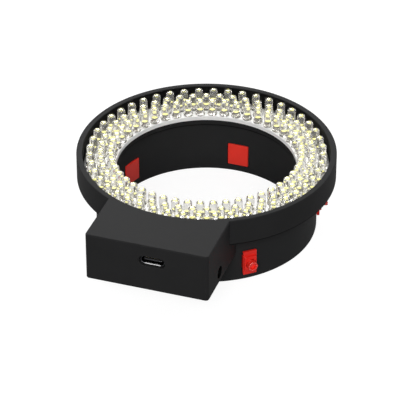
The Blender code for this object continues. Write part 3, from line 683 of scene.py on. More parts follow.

# %% [markdown]
# ## The lamp board
# The lamps are soldered to a ring of white board. Its edge shows as a white line round the bore.
# The board could be painted plain white, but the copper tracks under the white coating stand up
# slightly and tint it, so the finish works out where each ring of lamps has its track. Next to
# the rim's wall, a band along the board's outer edge is coloured near black.

# %% The white coating over its tracks
LAMP_RINGS = 3
LAMPS_PER_RING = 48
LAMP_RADIUS = 1.5 * MM
BOARD_BORE = FLOOR_BORE - 0.3 * MM
INNER_MARGIN = 0.3 * MM                # from the board's bore to the first lamps
OUTER_MARGIN = 1.3 * MM                # from the last lamps to the rim's wall
TRACK_HALF = 0.6 * MM
OUTER_BAND_WIDTH = 1.1 * MM
inner_ring = BOARD_BORE + INNER_MARGIN + LAMP_RADIUS
outer_ring = RIM_RADIUS - RIM_WALL - OUTER_MARGIN - LAMP_RADIUS
ring_radii = [inner_ring + (outer_ring - inner_ring) * k / (LAMP_RINGS - 1) for k in range(LAMP_RINGS)]

finish = new_finish("white_coating")
reach = finish.reach_from((0, AXIS_Y, 0), (1, 1, 0))
tracks = sum(abs(reach - radius) < TRACK_HALF for radius in ring_radii)
speckle = finish.noise(0.3 * MM)
coated = finish.mix_colour(tracks * 0.8 + speckle * 0.2, (0.93, 0.93, 0.92), (0.88, 0.88, 0.86))
# a band along the outer edge, next to the rim's wall, is coloured near black
outer_band = reach > BOARD_RADIUS - OUTER_BAND_WIDTH
white_coating = finish.surface({
    "Base Color": finish.mix_colour(outer_band, coated, (0.030, 0.027, 0.022)),
    "Roughness": 0.30 + speckle * 0.12,
    "Normal": finish.bump(tracks + speckle * 0.2, 0.03 * MM, 0.5),
})
print("lamp rings at", [round(radius / MM, 2) for radius in ring_radii], "mm")

# %% Turn the board
BOARD_THICKNESS = 1.6 * MM
BOARD_TOP = BOARD_UNDER + BOARD_THICKNESS
BOARD_EDGE = 0.08 * MM
board = flat_ring("lamp_board", BOARD_BORE, BOARD_RADIUS, BOARD_UNDER, BOARD_TOP, BOARD_EDGE, BOARD_EDGE)
dress(board, white_coating, "white_board", "housing", "led_board")

# %% [markdown]
# ## The lamps
# Each lamp is a clear 3 mm bullet of cast epoxy with a wider foot. Inside it a small metal cup
# holds a dab of yellow phosphor, and a second post feeds it. What the eye sees is that cup bent
# and doubled by the thick lens. It could be painted on, but a real closed lens with real parts
# inside gives the right picture from every side. The 144 lamps are copies of one, each turned
# and leaned by a hair, as hand-soldered lamps are. Light on its way to the board passes the
# lenses nearly unhindered, because bent light would take far too long to gather there.

# %% Places for the lamps
LEAN = radians(0.9)
TWIST = 0.06                           # in radians, to either side
unevenness = Random(144)
lamp_places = []
for ring, radius in enumerate(ring_radii):
    for k in range(LAMPS_PER_RING):
        bearing = radians((k + (ring % 2) / 2) * 360 / LAMPS_PER_RING)
        turn = Matrix.Rotation(-bearing + unevenness.uniform(-TWIST, TWIST), 4, "Z")
        lean = Matrix.Rotation(unevenness.uniform(-LEAN, LEAN), 4, unevenness.choice("XY"))
        spot = shift(radius * sin(bearing), AXIS_Y + radius * cos(bearing), BOARD_TOP)
        lamp_places.append(spot @ turn @ lean)
print(len(lamp_places), "lamps")


def copies(single, places):
    """One mesh that holds the single shape at each place."""
    shape = bpy.data.meshes.new("shape")
    single.to_mesh(shape)
    single.free()
    whole = bmesh.new()
    for place in places:
        start = len(whole.verts)
        whole.from_mesh(shape)
        whole.verts.ensure_lookup_table()
        bmesh.ops.transform(whole, matrix=place, verts=whole.verts[start:])
    bpy.data.meshes.remove(shape)
    return whole


# %% Clear epoxy
SHADOW_SHARE = 0.15                    # how much of a shadow a clear lens still throws
finish = new_finish("clear_epoxy")
shaded = finish.add("ShaderNodeLightPath", output="Is Shadow Ray")
clear_epoxy = finish.surface({
    "Base Color": finish.mix_colour(finish.noise(2 * MM), (0.985, 0.98, 0.965), (0.955, 0.945, 0.92)),
    "Roughness": finish.noise(0.8 * MM) * 0.05,
    "IOR": 1.5,
    "Transmission Weight": 0.94,
    "Alpha": 1 - shaded * (1 - SHADOW_SHARE),
})
print("lens material made:", clear_epoxy.name)

# %% The lenses
LENS_FACETS = 24
FOOT_GAP = 0.1 * MM
FOOT_HEIGHT = 1.0 * MM
FOOT_RADIUS = 1.85 * MM
FOOT_UNDER_EDGE = 0.12 * MM
FOOT_EDGE = 0.15 * MM
DOME_STEPS = 7
DOME_HEIGHT = 1.0 * MM                 # a blunt dome with round shoulders
BLUNTNESS = 2.7                        # 2 would be an ellipse, and more is flatter on top
foot_top = FOOT_GAP + FOOT_HEIGHT
lens_top = LAMP_TOP - BOARD_TOP
lens_profile = rounded_outline([
    (0, FOOT_GAP, 0),
    (FOOT_RADIUS, FOOT_GAP, FOOT_UNDER_EDGE),
    (FOOT_RADIUS, foot_top, FOOT_EDGE),
    (LAMP_RADIUS, foot_top, FOOT_EDGE),
    (LAMP_RADIUS, lens_top, 0),
])[:-1]
lens_profile += [(LAMP_RADIUS * cos(a) ** (2 / BLUNTNESS),
                  lens_top - DOME_HEIGHT + DOME_HEIGHT * sin(a) ** (2 / BLUNTNESS))
                 for a in quarter_turn(DOME_STEPS)[:-1]]
lens_profile.append((0, lens_top))
lenses = mesh_object("lamp_lenses", copies(turned(lens_profile, LENS_FACETS), lamp_places))
dress(lenses, clear_epoxy, "white_board", "housing", "led_board")

# %% Leads, with the cup on one of them
CUP_FACETS = 20
CUP_RADIUS = 0.75 * MM
CUP_MOUTH = 0.68 * MM
CUP_FOOT_RADIUS = 0.62 * MM
CUP_WELL_RADIUS = 0.50 * MM
CUP_FOOT = 1.5 * MM
CUP_FLOOR = CUP_FOOT + 0.25 * MM
CUP_TOP = 2.2 * MM
LAP = 0.05 * MM                        # how far one part in the lens runs into the next
LEAD = 0.5 * MM
LEAD_CORNER = 0.08 * MM
PIN_REACH = 1.27 * MM
PIN_TOP = 0.75 * MM
CUP_POST = (-1.25 * MM, 0.30 * MM)     # from here to there across the lamp
FEED_POST = (1.00 * MM, 1.30 * MM)
POST_FOOT = 0.35 * MM


def joined(*meshes):
    """Several closed meshes in one."""
    whole = bmesh.new()
    for bm in meshes:
        part = bpy.data.meshes.new("part")
        bm.to_mesh(part)
        bm.free()
        whole.from_mesh(part)
        bpy.data.meshes.remove(part)
    return whole


def flat_bar(x_low, x_high, z_low, z_high):
    bm = soft_block(x_high - x_low, LEAD, z_low, z_high, LEAD_CORNER, LAP)
    bm.transform(shift(x=(x_low + x_high) / 2))
    return bm


def pin(x):
    return flat_bar(x - LEAD / 2, x + LEAD / 2, -BOARD_THICKNESS, PIN_TOP)


cup = turned([(0, CUP_FOOT), (CUP_FOOT_RADIUS, CUP_FOOT), (CUP_RADIUS, CUP_TOP), (CUP_MOUTH, CUP_TOP),
              (CUP_WELL_RADIUS, CUP_FLOOR), (0, CUP_FLOOR)], CUP_FACETS)
cup_post = flat_bar(*CUP_POST, POST_FOOT, CUP_FOOT + LAP)
feed_post = flat_bar(*FEED_POST, POST_FOOT, CUP_TOP)
lead_frame = joined(cup, cup_post, feed_post, pin(-PIN_REACH), pin(PIN_REACH))
leads = mesh_object("lamp_leads", copies(lead_frame, lamp_places))
dress(leads, lead_metal, "plated_steel", "housing", "led_board")

# %% Phosphor
DAB_RADIUS = 0.66 * MM
DAB_HEIGHT = 0.60 * MM
DAB_STEPS = 5
finish = new_finish("phosphor")
crumb = finish.noise(0.25 * MM, 3.0)
phosphor = finish.surface({
    "Base Color": finish.mix_colour(crumb, (0.82, 0.79, 0.30), (0.76, 0.72, 0.22)),
    "Roughness": 0.6 + crumb * 0.2,
    # painted glow: the phosphor glows faintly, though the lamps in the ring are off
    "Emission Color": finish.mix_colour(crumb, (1.0, 0.98, 0.50), (0.95, 0.92, 0.40)),
    "Emission Strength": 0.30,
})
dab_profile = [(0, CUP_TOP - LAP), (DAB_RADIUS, CUP_TOP - LAP)]
dab_profile += [(DAB_RADIUS * cos(a), CUP_TOP + DAB_HEIGHT * sin(a)) for a in quarter_turn(DAB_STEPS)[:-1]]
dab_profile.append((0, CUP_TOP + DAB_HEIGHT))
dabs = mesh_object("lamp_phosphor", copies(turned(dab_profile, CUP_FACETS), lamp_places))
dress(dabs, phosphor, "white_board", "housing", "led_board")

# %% [markdown]
# ## The clamps
# Each clamp has a pad in the bore, a plate with a nut outside, and a screw that drives the pad.
# The plate carries a raised lug round the screw, and the screw ends in a ring of lobes round a
# deep recess. Pad and screw ride on moving bodies, so each is its own object. The thread could
# be a texture, but the screw is so simple that one function of angle and height gives both the
# thread and the lobes as real shape.

# %% Red pads
PAD_CORNER = 0.35 * MM
PAD_EDGE = 0.3 * MM
SOCKET_RADIUS = 1.6 * MM
SOCKET_FLOOR = PAD_BACK - 2.0 * MM
for k in CLAMPS:
    block = soft_block(*PAD_SIZE, PAD_FACE, PAD_BACK, PAD_CORNER, PAD_EDGE)
    pad = mesh_object(f"red_pad_{k}", block, clamp_place(k))
    cut(pad, mesh_object("socket", rod(SOCKET_RADIUS, SOCKET_FLOOR, PAD_BACK + PAST), clamp_place(k)))
    dress(pad, pad_plastic_painted_light, "red_plastic", f"pad_{k}", f"clamp_pad_{k}")

# %% Red plates with their lugs and nuts
PLATE_CORNER = 0.25 * MM
PLATE_EDGE = 0.2 * MM
PLATE_FACE = COLLAR_RADIUS + 1.05 * MM
LUG_SIZE = (4.6 * MM, 5.8 * MM)
LUG_CORNER = 0.5 * MM
LUG_EDGE = 0.25 * MM
LUG_FACE = PLATE_FACE + 0.7 * MM
NUT_CORNER = 0.2 * MM
NUT_EDGE = 0.1 * MM
NUT_BACK = PAD_BACK + 2 * SEAT_GAP
LUG_START = COLLAR_RADIUS + 0.3 * MM   # inside the plate, as is the nut's end
NUT_END = COLLAR_RADIUS + 0.2 * MM
THUMB_RADIUS = 1.8 * MM
THUMB_HOLE = THUMB_RADIUS + 0.04 * MM
CHAMFER = 0.05 * MM
CHAMFER_PAST = 0.4 * MM
through = [(0, NUT_BACK - PAST), (THUMB_HOLE, NUT_BACK - PAST), (THUMB_HOLE, LUG_FACE - CHAMFER),
           (THUMB_HOLE + CHAMFER + CHAMFER_PAST, LUG_FACE + CHAMFER_PAST), (0, LUG_FACE + CHAMFER_PAST)]
for k in CLAMPS:
    block = soft_block(*PLATE_SIZE, COLLAR_RADIUS, PLATE_FACE, PLATE_CORNER, PLATE_EDGE)
    plate = mesh_object(f"red_plate_{k}", block, clamp_place(k))
    lug = soft_block(*LUG_SIZE, LUG_START, LUG_FACE, LUG_CORNER, LUG_EDGE)
    nut = soft_block(*NUT_SIZE, NUT_BACK, NUT_END, NUT_CORNER, NUT_EDGE)
    fuse(plate, mesh_object("lug", lug, clamp_place(k)), mesh_object("nut", nut, clamp_place(k)))
    cut(plate, mesh_object("through", turned(through), clamp_place(k)))
    dress(plate, red_plastic, "red_plastic", "housing", f"clamp_plate_{k}")

# %% The red screw's outline
THREAD_PITCH = 0.7 * MM
THREAD_DEPTH = 0.16 * MM
THREAD_STEPS = 8
LOBES = 8
LOBE_DEPTH = 0.10 * MM
LOBE_SHARPNESS = 0.6
TIP_RADIUS = 1.3 * MM
TIP_EDGE = 0.1 * MM
SCREW_TIP = SOCKET_FLOOR + SEAT_GAP
SHOULDER = PAD_BACK + SEAT_GAP
HEAD_START = LUG_FACE - 0.1 * MM
SCREW_END = PLATE_FACE + 3.1 * MM


def screw_radius(angle, level):
    """The screw's outline: a plain tip, a thread as far as the lug, and a lobed head."""
    if level < SHOULDER:
        return TIP_RADIUS
    if level < HEAD_START:
        turn = (level / THREAD_PITCH - angle / (2 * pi)) % 1
        return THUMB_RADIUS - THREAD_DEPTH * abs(2 * turn - 1)
    lobe = (1 + cos(LOBES * angle)) / 2
    return THUMB_RADIUS - LOBE_DEPTH * (1 - lobe ** LOBE_SHARPNESS)


# %% Levels of the red screw, from its tip to the floor of its recess
HEAD_ROUNDING = ((0.36 * MM, 0), (0.30 * MM, 0.03 * MM), (0.26 * MM, 0.07 * MM))
RECESS_WALL = ((0.40 * MM, 0.66 * MM), (1.20 * MM, 0.84 * MM))
BEAD_RADIUS = 0.24 * MM                # a bead that rises and falls with the lobes
BEAD_INSET = 0.34 * MM
BEAD_DIP = 0.30 * MM
BEAD_STEPS = 6
thread_count = round((HEAD_START - SHOULDER) / THREAD_PITCH * THREAD_STEPS)


def below_end(outline):
    """Levels from pairs of depth below the screw's end and inset from its side."""
    return [(SCREW_END - depth, -inset, 0) for depth, inset in outline]


screw_levels = [(SCREW_TIP, -TIP_EDGE, 0), (SCREW_TIP + TIP_EDGE, 0, 0), (SHOULDER - MERGE, 0, 0)]
screw_levels += [(SHOULDER + (HEAD_START - SHOULDER) * n / thread_count, 0, 0) for n in range(thread_count)]
screw_levels += [(HEAD_START, 0, 0), *below_end(HEAD_ROUNDING)]
for k in range(BEAD_STEPS + 1):
    angle = pi * k / BEAD_STEPS
    screw_levels.append((SCREW_END - BEAD_RADIUS * (1 - sin(angle)), BEAD_RADIUS * cos(angle) - BEAD_INSET,
                         BEAD_DIP * sin(angle)))
screw_levels += below_end(RECESS_WALL)
print("a red screw has", len(screw_levels), "levels, and", thread_count, "of them are its thread")

# %% Red screws
SCREW_FACETS = 64


def screw_mesh():
    sections = []
    for level, inset, dip in screw_levels:
        section = []
        for n in range(SCREW_FACETS):
            angle = 2 * pi * n / SCREW_FACETS
            radius = screw_radius(angle, level) + inset
            lower = dip * (1 - cos(LOBES * angle)) / 2
            section.append((radius * cos(angle), radius * sin(angle), level - lower))
        sections.append(section)
    return loft(sections)


for k in CLAMPS:
    screw = mesh_object(f"red_screw_{k}", screw_mesh(), clamp_place(k))
    dress(screw, screw_plastic, "red_plastic", f"screw_{k}", f"thumbscrew_{k}")

# %% [markdown]
# ## The cover and the small screws
# The lid under the box drops in flush and follows the curve of the wall behind it. It is a flat
# outline lofted with a small chamfer, and four countersinks are cut in it. The steel screws could
# all be one linked mesh, but they differ in length and head, so each is turned from its outline,
# and a cross-shaped cutter sinks the recess.

# %% The lid
LID_EDGE = 0.15 * MM
LID_CORNER = 0.6 * MM
SMALL_HEAD = 1.9 * MM
SMALL_HEAD_HEIGHT = 1.1 * MM


def lid_outline(inset):
    half = cover_high.x - inset
    front = cover_low.y + inset
    back = back_radius + BACK_WALL + SEAT_GAP + inset
    corner = LID_CORNER - inset
    outline = rounded_outline([(-half, front, corner), (half, front, corner), (0, 0, 0)])[:-1]
    for n in range(FINE_FACETS + 1):
        x = half * (1 - 2 * n / FINE_FACETS)
        outline.append((x, AXIS_Y - sqrt(back * back - x * x)))
    return outline


lid_levels = [(LID_EDGE, cover_low.z), (0, cover_low.z + LID_EDGE), (0, cover_high.z - LID_EDGE),
              (LID_EDGE, cover_high.z)]
lid = mesh_object("box_lid", loft([[(x, y, z) for x, y in lid_outline(inset)] for inset, z in lid_levels]))
cut(lid, *(countersink(screw, SCREW_HOLE, SMALL_HEAD, SMALL_HEAD_HEIGHT, cover_low.z, 1)
           for screw in cover_screws))
dress(lid, black_plastic, "black_plastic", "housing", "box_cover")

# %% A screw with a thread and a cross recess
RECESS_DEPTH = 0.75 * MM
WING_HALF = 0.16 * MM
WING_TAPER = 0.55                      # share of a wing's reach that is left at the bottom
SMALL_PITCH = 0.5 * MM
SMALL_THREAD_DEPTH = 0.16 * MM
POINT_LENGTH = 0.5 * MM


def cross_cutter(reach):
    """Two crossed wings that taper inwards, as a cross-head driver's tip does."""
    wings = []
    for turn in (0, pi / 2):
        levels = ((1.0, -PAST), (1.0, 0), (WING_TAPER, RECESS_DEPTH))
        sections = [[(x * reach * share, y * WING_HALF, z) for x, y in ((-1, -1), (1, -1), (1, 1), (-1, 1))]
                    for share, z in levels]
        wings.append(mesh_object("wing", loft(sections), Matrix.Rotation(turn, 4, "Z")))
    fuse(wings[0], wings[1])
    return wings[0]


def threaded(radius, start, end):
    """The stepped outline of a thread between two heights."""
    points = []
    for n in range(int((end - start) / SMALL_PITCH)):
        points += [(radius, start + (n + 0.25) * SMALL_PITCH),
                   (radius - SMALL_THREAD_DEPTH, start + (n + 0.75) * SMALL_PITCH)]
    return points


def make_screws(name, nodes, head, head_height, shank, recess, head_up=False):
    """Turns a screw for each node, cuts it at height zero and then puts it in its place."""
    for k, node in enumerate(nodes, start=1):
        low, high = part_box(node)
        length = high.z - low.z
        outline = [*head, (shank, head_height), *threaded(shank, head_height, length - POINT_LENGTH),
                   (shank / 2, length), (0, length)]
        screw = mesh_object(f"{name}_{k}", turned(outline))
        cut(screw, cross_cutter(recess))
        turn = Matrix.Rotation(pi if head_up else 0, 4, "X")
        screw.data.transform(upright_at(node) @ shift(z=high.z if head_up else low.z) @ turn)
        dress(screw, screw_steel, "plated_steel", "housing", node)


# %% Screws of the lid, the collar and the driver board
SMALL_SCREW = 1.0 * MM
COLLAR_SCREW = 1.1 * MM
LID_RECESS = 1.15 * MM
COLLAR_RECESS = 1.3 * MM
BOARD_RECESS = 1.1 * MM
HEAD_EDGE = 0.08 * MM


def flat_head(radius):
    return [(0, 0), (radius - HEAD_EDGE, 0), (radius, HEAD_EDGE)]


round_head = [(0, 0), (1.2 * MM, 0), (1.7 * MM, 0.2 * MM), (SMALL_HEAD, 0.6 * MM),
              (SMALL_HEAD, SMALL_HEAD_HEIGHT)]
make_screws("lid_screw", cover_screws, flat_head(SMALL_HEAD), SMALL_HEAD_HEIGHT, SMALL_SCREW, LID_RECESS)
make_screws("floor_screw", collar_screws, flat_head(HEAD_RADIUS), HEAD_HEIGHT, COLLAR_SCREW, COLLAR_RECESS,
            head_up=True)
make_screws("driver_screw", board_screws, round_head, SMALL_HEAD_HEIGHT, SMALL_SCREW, BOARD_RECESS)

# %% [markdown]
# ## The power port
# The port is a drawn steel shell, set back a little in its slot, round a thin black tongue that
# carries rows of gilt contacts. The dark nickel shell has a painted glint: its lower lip is
# painted bright in front, and the plate in the tongue has the same finish. From outside only
# that lip and glints in the slot show. They could be painted on a flat plate, but the shell
# keeps its real wall with a rounded lip, and the contacts are real strips, so that they glint as metal
# does.

# %% The shell and its nickel
PORT_WALL = 0.35 * MM
SET_BACK = 0.40 * MM                   # the shell's lip lies deep in its slot
LIP_STEPS = 8
PORT_CHAMFER = 0.1 * MM
port_front, port_rear = shell_low.y, shell_high.y
shell_sections = []
for k in range(LIP_STEPS + 1):
    angle = pi * k / LIP_STEPS
    lip_place = port_front + SET_BACK + PORT_WALL / 2 * (1 - sin(angle))
    shell_sections.append(port_outline(-PORT_WALL * (1 + cos(angle)) / 2, lip_place))
shell_sections += [port_outline(0, port_rear), port_outline(-PORT_WALL, port_rear)]
shell = mesh_object("port_shell", loft(shell_sections, closed=True))


def nickel_with_painted_glint(name, low_edge):
    """Dark nickel plating, painted bright in front, below a level and between the ends, as a painted glint.
    """
    finish = new_finish(name)
    scuffs = finish.noise(0.5 * MM, 3.0)
    between_ends = abs(finish.along("X") - PORT_X) < (PORT_WIDTH - PORT_HEIGHT) / 2
    in_front = finish.along("Y") < port_front + SET_BACK + PORT_WALL
    # painted glint: in front, below the level and between the ends the colour is painted bright
    glint_band = between_ends * in_front * (finish.along("Z") < low_edge)
    return finish.surface({
        "Base Color": finish.mix_colour(glint_band, (0.10, 0.10, 0.11), (0.95, 0.95, 0.96)),
        "Metallic": 1 - glint_band * 0.55,
        "Roughness": 0.22 + glint_band * 0.12 + scuffs * 0.08,
        "Normal": finish.bump(scuffs, 0.003 * MM, 0.3),
    })


shell_nickel = nickel_with_painted_glint("shell_nickel", PORT_Z - PORT_HEIGHT / 2 + PORT_WALL + PORT_CHAMFER)
plate_nickel = nickel_with_painted_glint("plate_nickel", PORT_Z + PORT_HEIGHT)
dress(shell, shell_nickel, "plated_steel", "housing", "usb_shell")

# %% The tongue and the steel plate in it
TONGUE_WIDTH = 6.7 * MM
TONGUE_THICKNESS = 0.7 * MM
TONGUE_BASE = 2.0 * MM
PLATE_DEPTH = 0.8 * MM
PLATE_HALF = 0.2 * MM
PLATE_ROUNDING = (0.22 * MM, 0.19 * MM)
tongue_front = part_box("usb_tongue")[0].y
base_start = port_rear - TONGUE_BASE


def tongue_outline(inset, place):
    return slot_outline(TONGUE_WIDTH - 2 * inset, TONGUE_THICKNESS - 2 * inset, place)


tongue = mesh_object("port_tongue", loft([
    port_outline(-PORT_WALL - SLIDE_GAP, port_rear),
    port_outline(-PORT_WALL - SLIDE_GAP, base_start),
    tongue_outline(0, base_start),
    tongue_outline(0, tongue_front + 2 * PORT_CHAMFER),
    tongue_outline(PORT_CHAMFER, tongue_front + PORT_CHAMFER),
]))
dress(tongue, black_plastic, "black_plastic", "housing", "usb_tongue")
plate = soft_block(TONGUE_WIDTH - 4 * PORT_CHAMFER, PLATE_DEPTH, -PLATE_HALF, PLATE_HALF, *PLATE_ROUNDING)
plate = mesh_object("port_plate", plate, shift(PORT_X, tongue_front + PLATE_DEPTH / 2, PORT_Z))
dress(plate, plate_nickel, "plated_steel", "housing", "usb_tongue")

# %% The contacts
CONTACTS = 12
CONTACT_PITCH = 0.5 * MM
CONTACT_WIDTH = 0.3 * MM
CONTACT_HALF = 0.04 * MM
CONTACT_ROUNDING = (0.06 * MM, 0.02 * MM)
contact_start = tongue_front + 0.6 * MM
contact_end = base_start - 0.1 * MM
contact_places = []
for n in range(CONTACTS):
    x = PORT_X + (n - (CONTACTS - 1) / 2) * CONTACT_PITCH
    contact_places += [shift(x, 0, PORT_Z + side * TONGUE_THICKNESS / 2) for side in (-1, 1)]
strip = soft_block(CONTACT_WIDTH, contact_end - contact_start, -CONTACT_HALF, CONTACT_HALF,
                   *CONTACT_ROUNDING)
strip.transform(shift(y=(contact_start + contact_end) / 2))
contacts = mesh_object("port_contacts", copies(strip, contact_places))
dress(contacts, contact_gold, "plated_steel", "housing", "usb_tongue")

# %% [markdown]
# ## The brightness button
# Only the end of the button shows, deep in its hole in the side wall. It is a dull black rubber,
# darker than the plastic round it. A painted disc could stand for it, but it moves, so it is
# turned whole, with a dished end and a stem that reaches the switch.

# %% Button
BUTTON_RADIUS = 2.0 * MM
BUTTON_LENGTH = 2.7 * MM
BUTTON_EDGE = 0.3 * MM
BUTTON_CHAMFER = 0.1 * MM
STEM_RADIUS = 1.0 * MM
BUTTON_DISH = ((1.2 * MM, -0.05 * MM), (0.6 * MM, -0.13 * MM), (0, -0.16 * MM))
button_low, button_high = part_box("dimmer_button")
stem_end = button_low.x - button_high.x
button_profile = [(0, stem_end), (STEM_RADIUS - BUTTON_CHAMFER, stem_end),
                  (STEM_RADIUS, stem_end + BUTTON_CHAMFER), (STEM_RADIUS, -BUTTON_LENGTH),
                  (BUTTON_RADIUS - BUTTON_CHAMFER, -BUTTON_LENGTH),
                  (BUTTON_RADIUS, BUTTON_CHAMFER - BUTTON_LENGTH), (BUTTON_RADIUS, -BUTTON_EDGE),
                  (BUTTON_RADIUS - 0.3 * BUTTON_EDGE, -0.3 * BUTTON_EDGE),
                  (BUTTON_RADIUS - BUTTON_EDGE, 0), *BUTTON_DISH]
button_place = shift(button_high.x, BUTTON_PLACE.y, BUTTON_PLACE.z) @ SIDEWAYS
button = mesh_object("button_cap", turned(button_profile), button_place)
button_rubber = moulded_plastic("button_rubber", (0.003, 0.003, 0.003), (0.006, 0.006, 0.006),
                                roughness=0.75, gloss=0.0, grain_depth=0.008 * MM)
dress(button, button_rubber, "black_plastic", "button", "dimmer_button")

# %% [markdown]
# ## What is inside the box
# The driver board, its chip and coil, the switch and the two leads could be drawn anew, but the
# shapes of their imported solids are right, so those stay. They get finishes of their own, and all
# but the leads a small live bevel, which on such plain blocks works well.

# %% Finishes for the inner parts
finish = new_finish("green_laminate")
weave = finish.add("ShaderNodeTexWave", {"bands_direction": "DIAGONAL"},
                   {"Vector": finish.coordinates(), "Scale": 400.0, "Distortion": 1.0})
track_lines = finish.add("ShaderNodeTexBrick", {"offset": 0.37}, {
    "Vector": finish.coordinates(), "Color1": (0, 0, 0, 1), "Color2": (0, 0, 0, 1),
    "Mortar": (1, 1, 1, 1), "Scale": 160.0, "Mortar Size": 0.06})
green_laminate = finish.surface({
    "Base Color": finish.mix_colour(track_lines, (0.008, 0.085, 0.03), (0.02, 0.17, 0.06)),
    "Roughness": 0.32 + weave * 0.1,
    "Normal": finish.bump(track_lines + weave * 0.2, 0.03 * MM, 0.5),
})


def package_finish(name, dark, pale, roughness):
    """Dull moulded resin or sintered ferrite, speckled at a fine scale."""
    finish = new_finish(name)
    speck = finish.noise(0.12 * MM, 4.0)
    return finish.surface({
        "Base Color": finish.mix_colour(speck, dark, pale),
        "Roughness": roughness + speck * 0.15,
        "Normal": finish.bump(speck, 0.01 * MM, 0.5),
    })


chip_resin = package_finish("chip_resin", (0.018, 0.018, 0.02), (0.035, 0.035, 0.037), roughness=0.5)
ferrite = package_finish("ferrite", (0.05, 0.05, 0.052), (0.09, 0.09, 0.092), roughness=0.55)
switch_resin = package_finish("switch_resin", (0.10, 0.10, 0.105), (0.14, 0.14, 0.145), roughness=0.45)
red_sleeve = package_finish("red_sleeve", (0.50, 0.015, 0.012), (0.58, 0.025, 0.02), roughness=0.35)
black_sleeve = package_finish("black_sleeve", (0.012, 0.012, 0.013), (0.02, 0.02, 0.021), roughness=0.4)

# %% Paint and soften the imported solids
INNER = {"driver_board": (green_laminate, 0.05 * MM), "driver_chip": (chip_resin, 0.12 * MM),
         "driver_inductor": (ferrite, 0.25 * MM), "dimmer_switch": (switch_resin, 0.15 * MM),
         "lead_wire_plus": (red_sleeve, 0), "lead_wire_minus": (black_sleeve, 0)}
for node, (material, bevel_width) in INNER.items():
    obj = frame["nodes"][node]
    for slot in obj.material_slots:
        slot.material = material
    if bevel_width:
        soften = obj.modifiers.new("soft_edges", "BEVEL")
        soften.width = bevel_width
        soften.segments = 2
        soften.limit_method = "ANGLE"
    print(node, "is finished in", material.name)

# %% [markdown]
# ## Floor, light and camera
# The object stands on a plain white floor in soft light from above. The floor keeps the shadow,
# and it also glows to the camera, which brings it to the white of the background. Through the
# lenses and in the metal it glows only in part. The world does the same: it is dim to the
# surfaces that it lights and white where it is seen, and towards the top it darkens in mirrors,
# and by less through glass. A lit panel behind the object could give the white too, but only
# from one side.

# %% Floor
FLOOR_SIZE = 3.0
FLOOR_DROP = 0.02 * MM
FLOOR_GLOW = 0.89
floor_mesh = bmesh.new()
bmesh.ops.create_grid(floor_mesh, x_segments=1, y_segments=1, size=FLOOR_SIZE / 2)
floor = mesh_object("floor", floor_mesh, shift(z=-FLOOR_DROP))
finish = new_finish("white_floor")


def seen_directly(finish, through, mirrored):
    """One for rays from the camera, a share through glass and in a mirror, nought for light."""
    ray = {name: finish.add("ShaderNodeLightPath", output=name)
           for name in ("Is Camera Ray", "Is Glossy Ray", "Is Transmission Ray")}
    total = ray["Is Camera Ray"] + ray["Is Transmission Ray"] * through + ray["Is Glossy Ray"] * mirrored
    return total.at_most(1)


glow = finish.add("ShaderNodeEmission", {}, {
    "Color": (1, 1, 1, 1), "Strength": seen_directly(finish, through=0.4, mirrored=0.28) * FLOOR_GLOW})
paint = finish.add("ShaderNodeBsdfDiffuse", {}, {"Color": (0.22, 0.22, 0.22, 1)})
floor.data.materials.append(finish.show(finish.add("ShaderNodeAddShader", {}, {0: glow, 1: paint})))

# %% World
AMBIENT = 0.25
SKY_SLOPE = 2.2
SKY_DARKENING = 0.75
scene = bpy.context.scene
scene.world = bpy.data.worlds.new("studio")
finish = Finish(scene.world, "ShaderNodeOutputWorld")
look = finish.add("ShaderNodeTexCoord", output="Generated")
height = finish.add("ShaderNodeSeparateXYZ", {}, {0: look}, "Z")
sky = 1 - (height.at_least(0) * SKY_SLOPE).at_most(1) * SKY_DARKENING
seen = seen_directly(finish, through=sky * 0.5 + 0.5, mirrored=sky)
finish.show(finish.add("ShaderNodeBackground", {},
                       {"Color": (1, 1, 1, 1), "Strength": seen * (1 - AMBIENT) + AMBIENT}))
scene.view_settings.view_transform = "Standard"
print("the world lights with a strength of", AMBIENT)

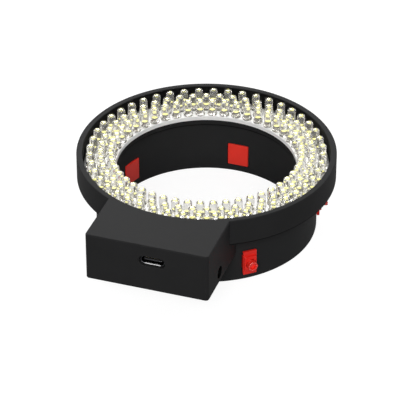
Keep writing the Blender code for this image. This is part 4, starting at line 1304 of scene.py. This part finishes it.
# %% Soft boxes
def soft_box(name, place, width, power):
    """A square soft box that points at the ring."""
    light = bpy.data.lights.new(name, "AREA")
    light.size = width
    light.energy = power
    box = bpy.data.objects.new(name, light)
    box.location = place
    aim = Vector((0, 0, RIM_TOP / 2)) - Vector(place)
    box.rotation_euler = aim.to_track_quat("-Z", "Y").to_euler()
    scene.collection.objects.link(box)
    print(name, "shines with", power, "W")


soft_box("soft_box_left", (-0.30, 0.60, 0.52), width=0.4, power=4.4)
soft_box("soft_box_right", (0.50, 0.75, 0.26), width=0.35, power=2.2)
soft_box("soft_box_front", (0.21, -0.78, 0.50), width=0.45, power=5.6)
soft_box("soft_box_side", (-0.78, 0.22, 0.24), width=0.35, power=1.8)

# %% [markdown]
# ## The camera
# The photograph was taken from about 32 degrees above the floor with a long lens, from a little
# to the right of the box's front. The camera could aim at the object with a constraint, but a
# plain matrix also holds the small pan, tilt and roll that put each edge where the photograph
# has it.

# %% Camera
VIEW_DISTANCE = 907.84 * MM
VIEW_BEARING = radians(18.58)
VIEW_HEIGHT = 0.56338                  # these four angles are in radians
PAN, TILT, ROLL = 0.00258, -0.01994, -0.00088
FOCAL_PIXELS = 2516
IMAGE_SIDE = 400
back = Vector((0, -cos(VIEW_HEIGHT), sin(VIEW_HEIGHT)))
ahead = -back
right = Vector((1, 0, 0))
up = right.cross(ahead)
ahead, right = (Matrix.Rotation(PAN, 3, up) @ v for v in (ahead, right))
ahead, up = (Matrix.Rotation(TILT, 3, right) @ v for v in (ahead, up))
right, up = (Matrix.Rotation(ROLL, 3, ahead) @ v for v in (right, up))
bearing = Matrix.Rotation(VIEW_BEARING, 4, "Z")
turn = bearing @ Matrix((right, up, -ahead)).transposed().to_4x4()
camera = bpy.data.objects.new("camera", bpy.data.cameras.new("camera"))
camera.data.sensor_width = 36
camera.data.lens = FOCAL_PIXELS / IMAGE_SIDE * camera.data.sensor_width
view_place = bearing @ (back * VIEW_DISTANCE) + Vector((0, AXIS_Y, RIM_TOP))
camera.matrix_world = Matrix.Translation(view_place) @ turn
scene.collection.objects.link(camera)
scene.camera = camera
print("camera at", [round(v / MM) for v in view_place], "mm")
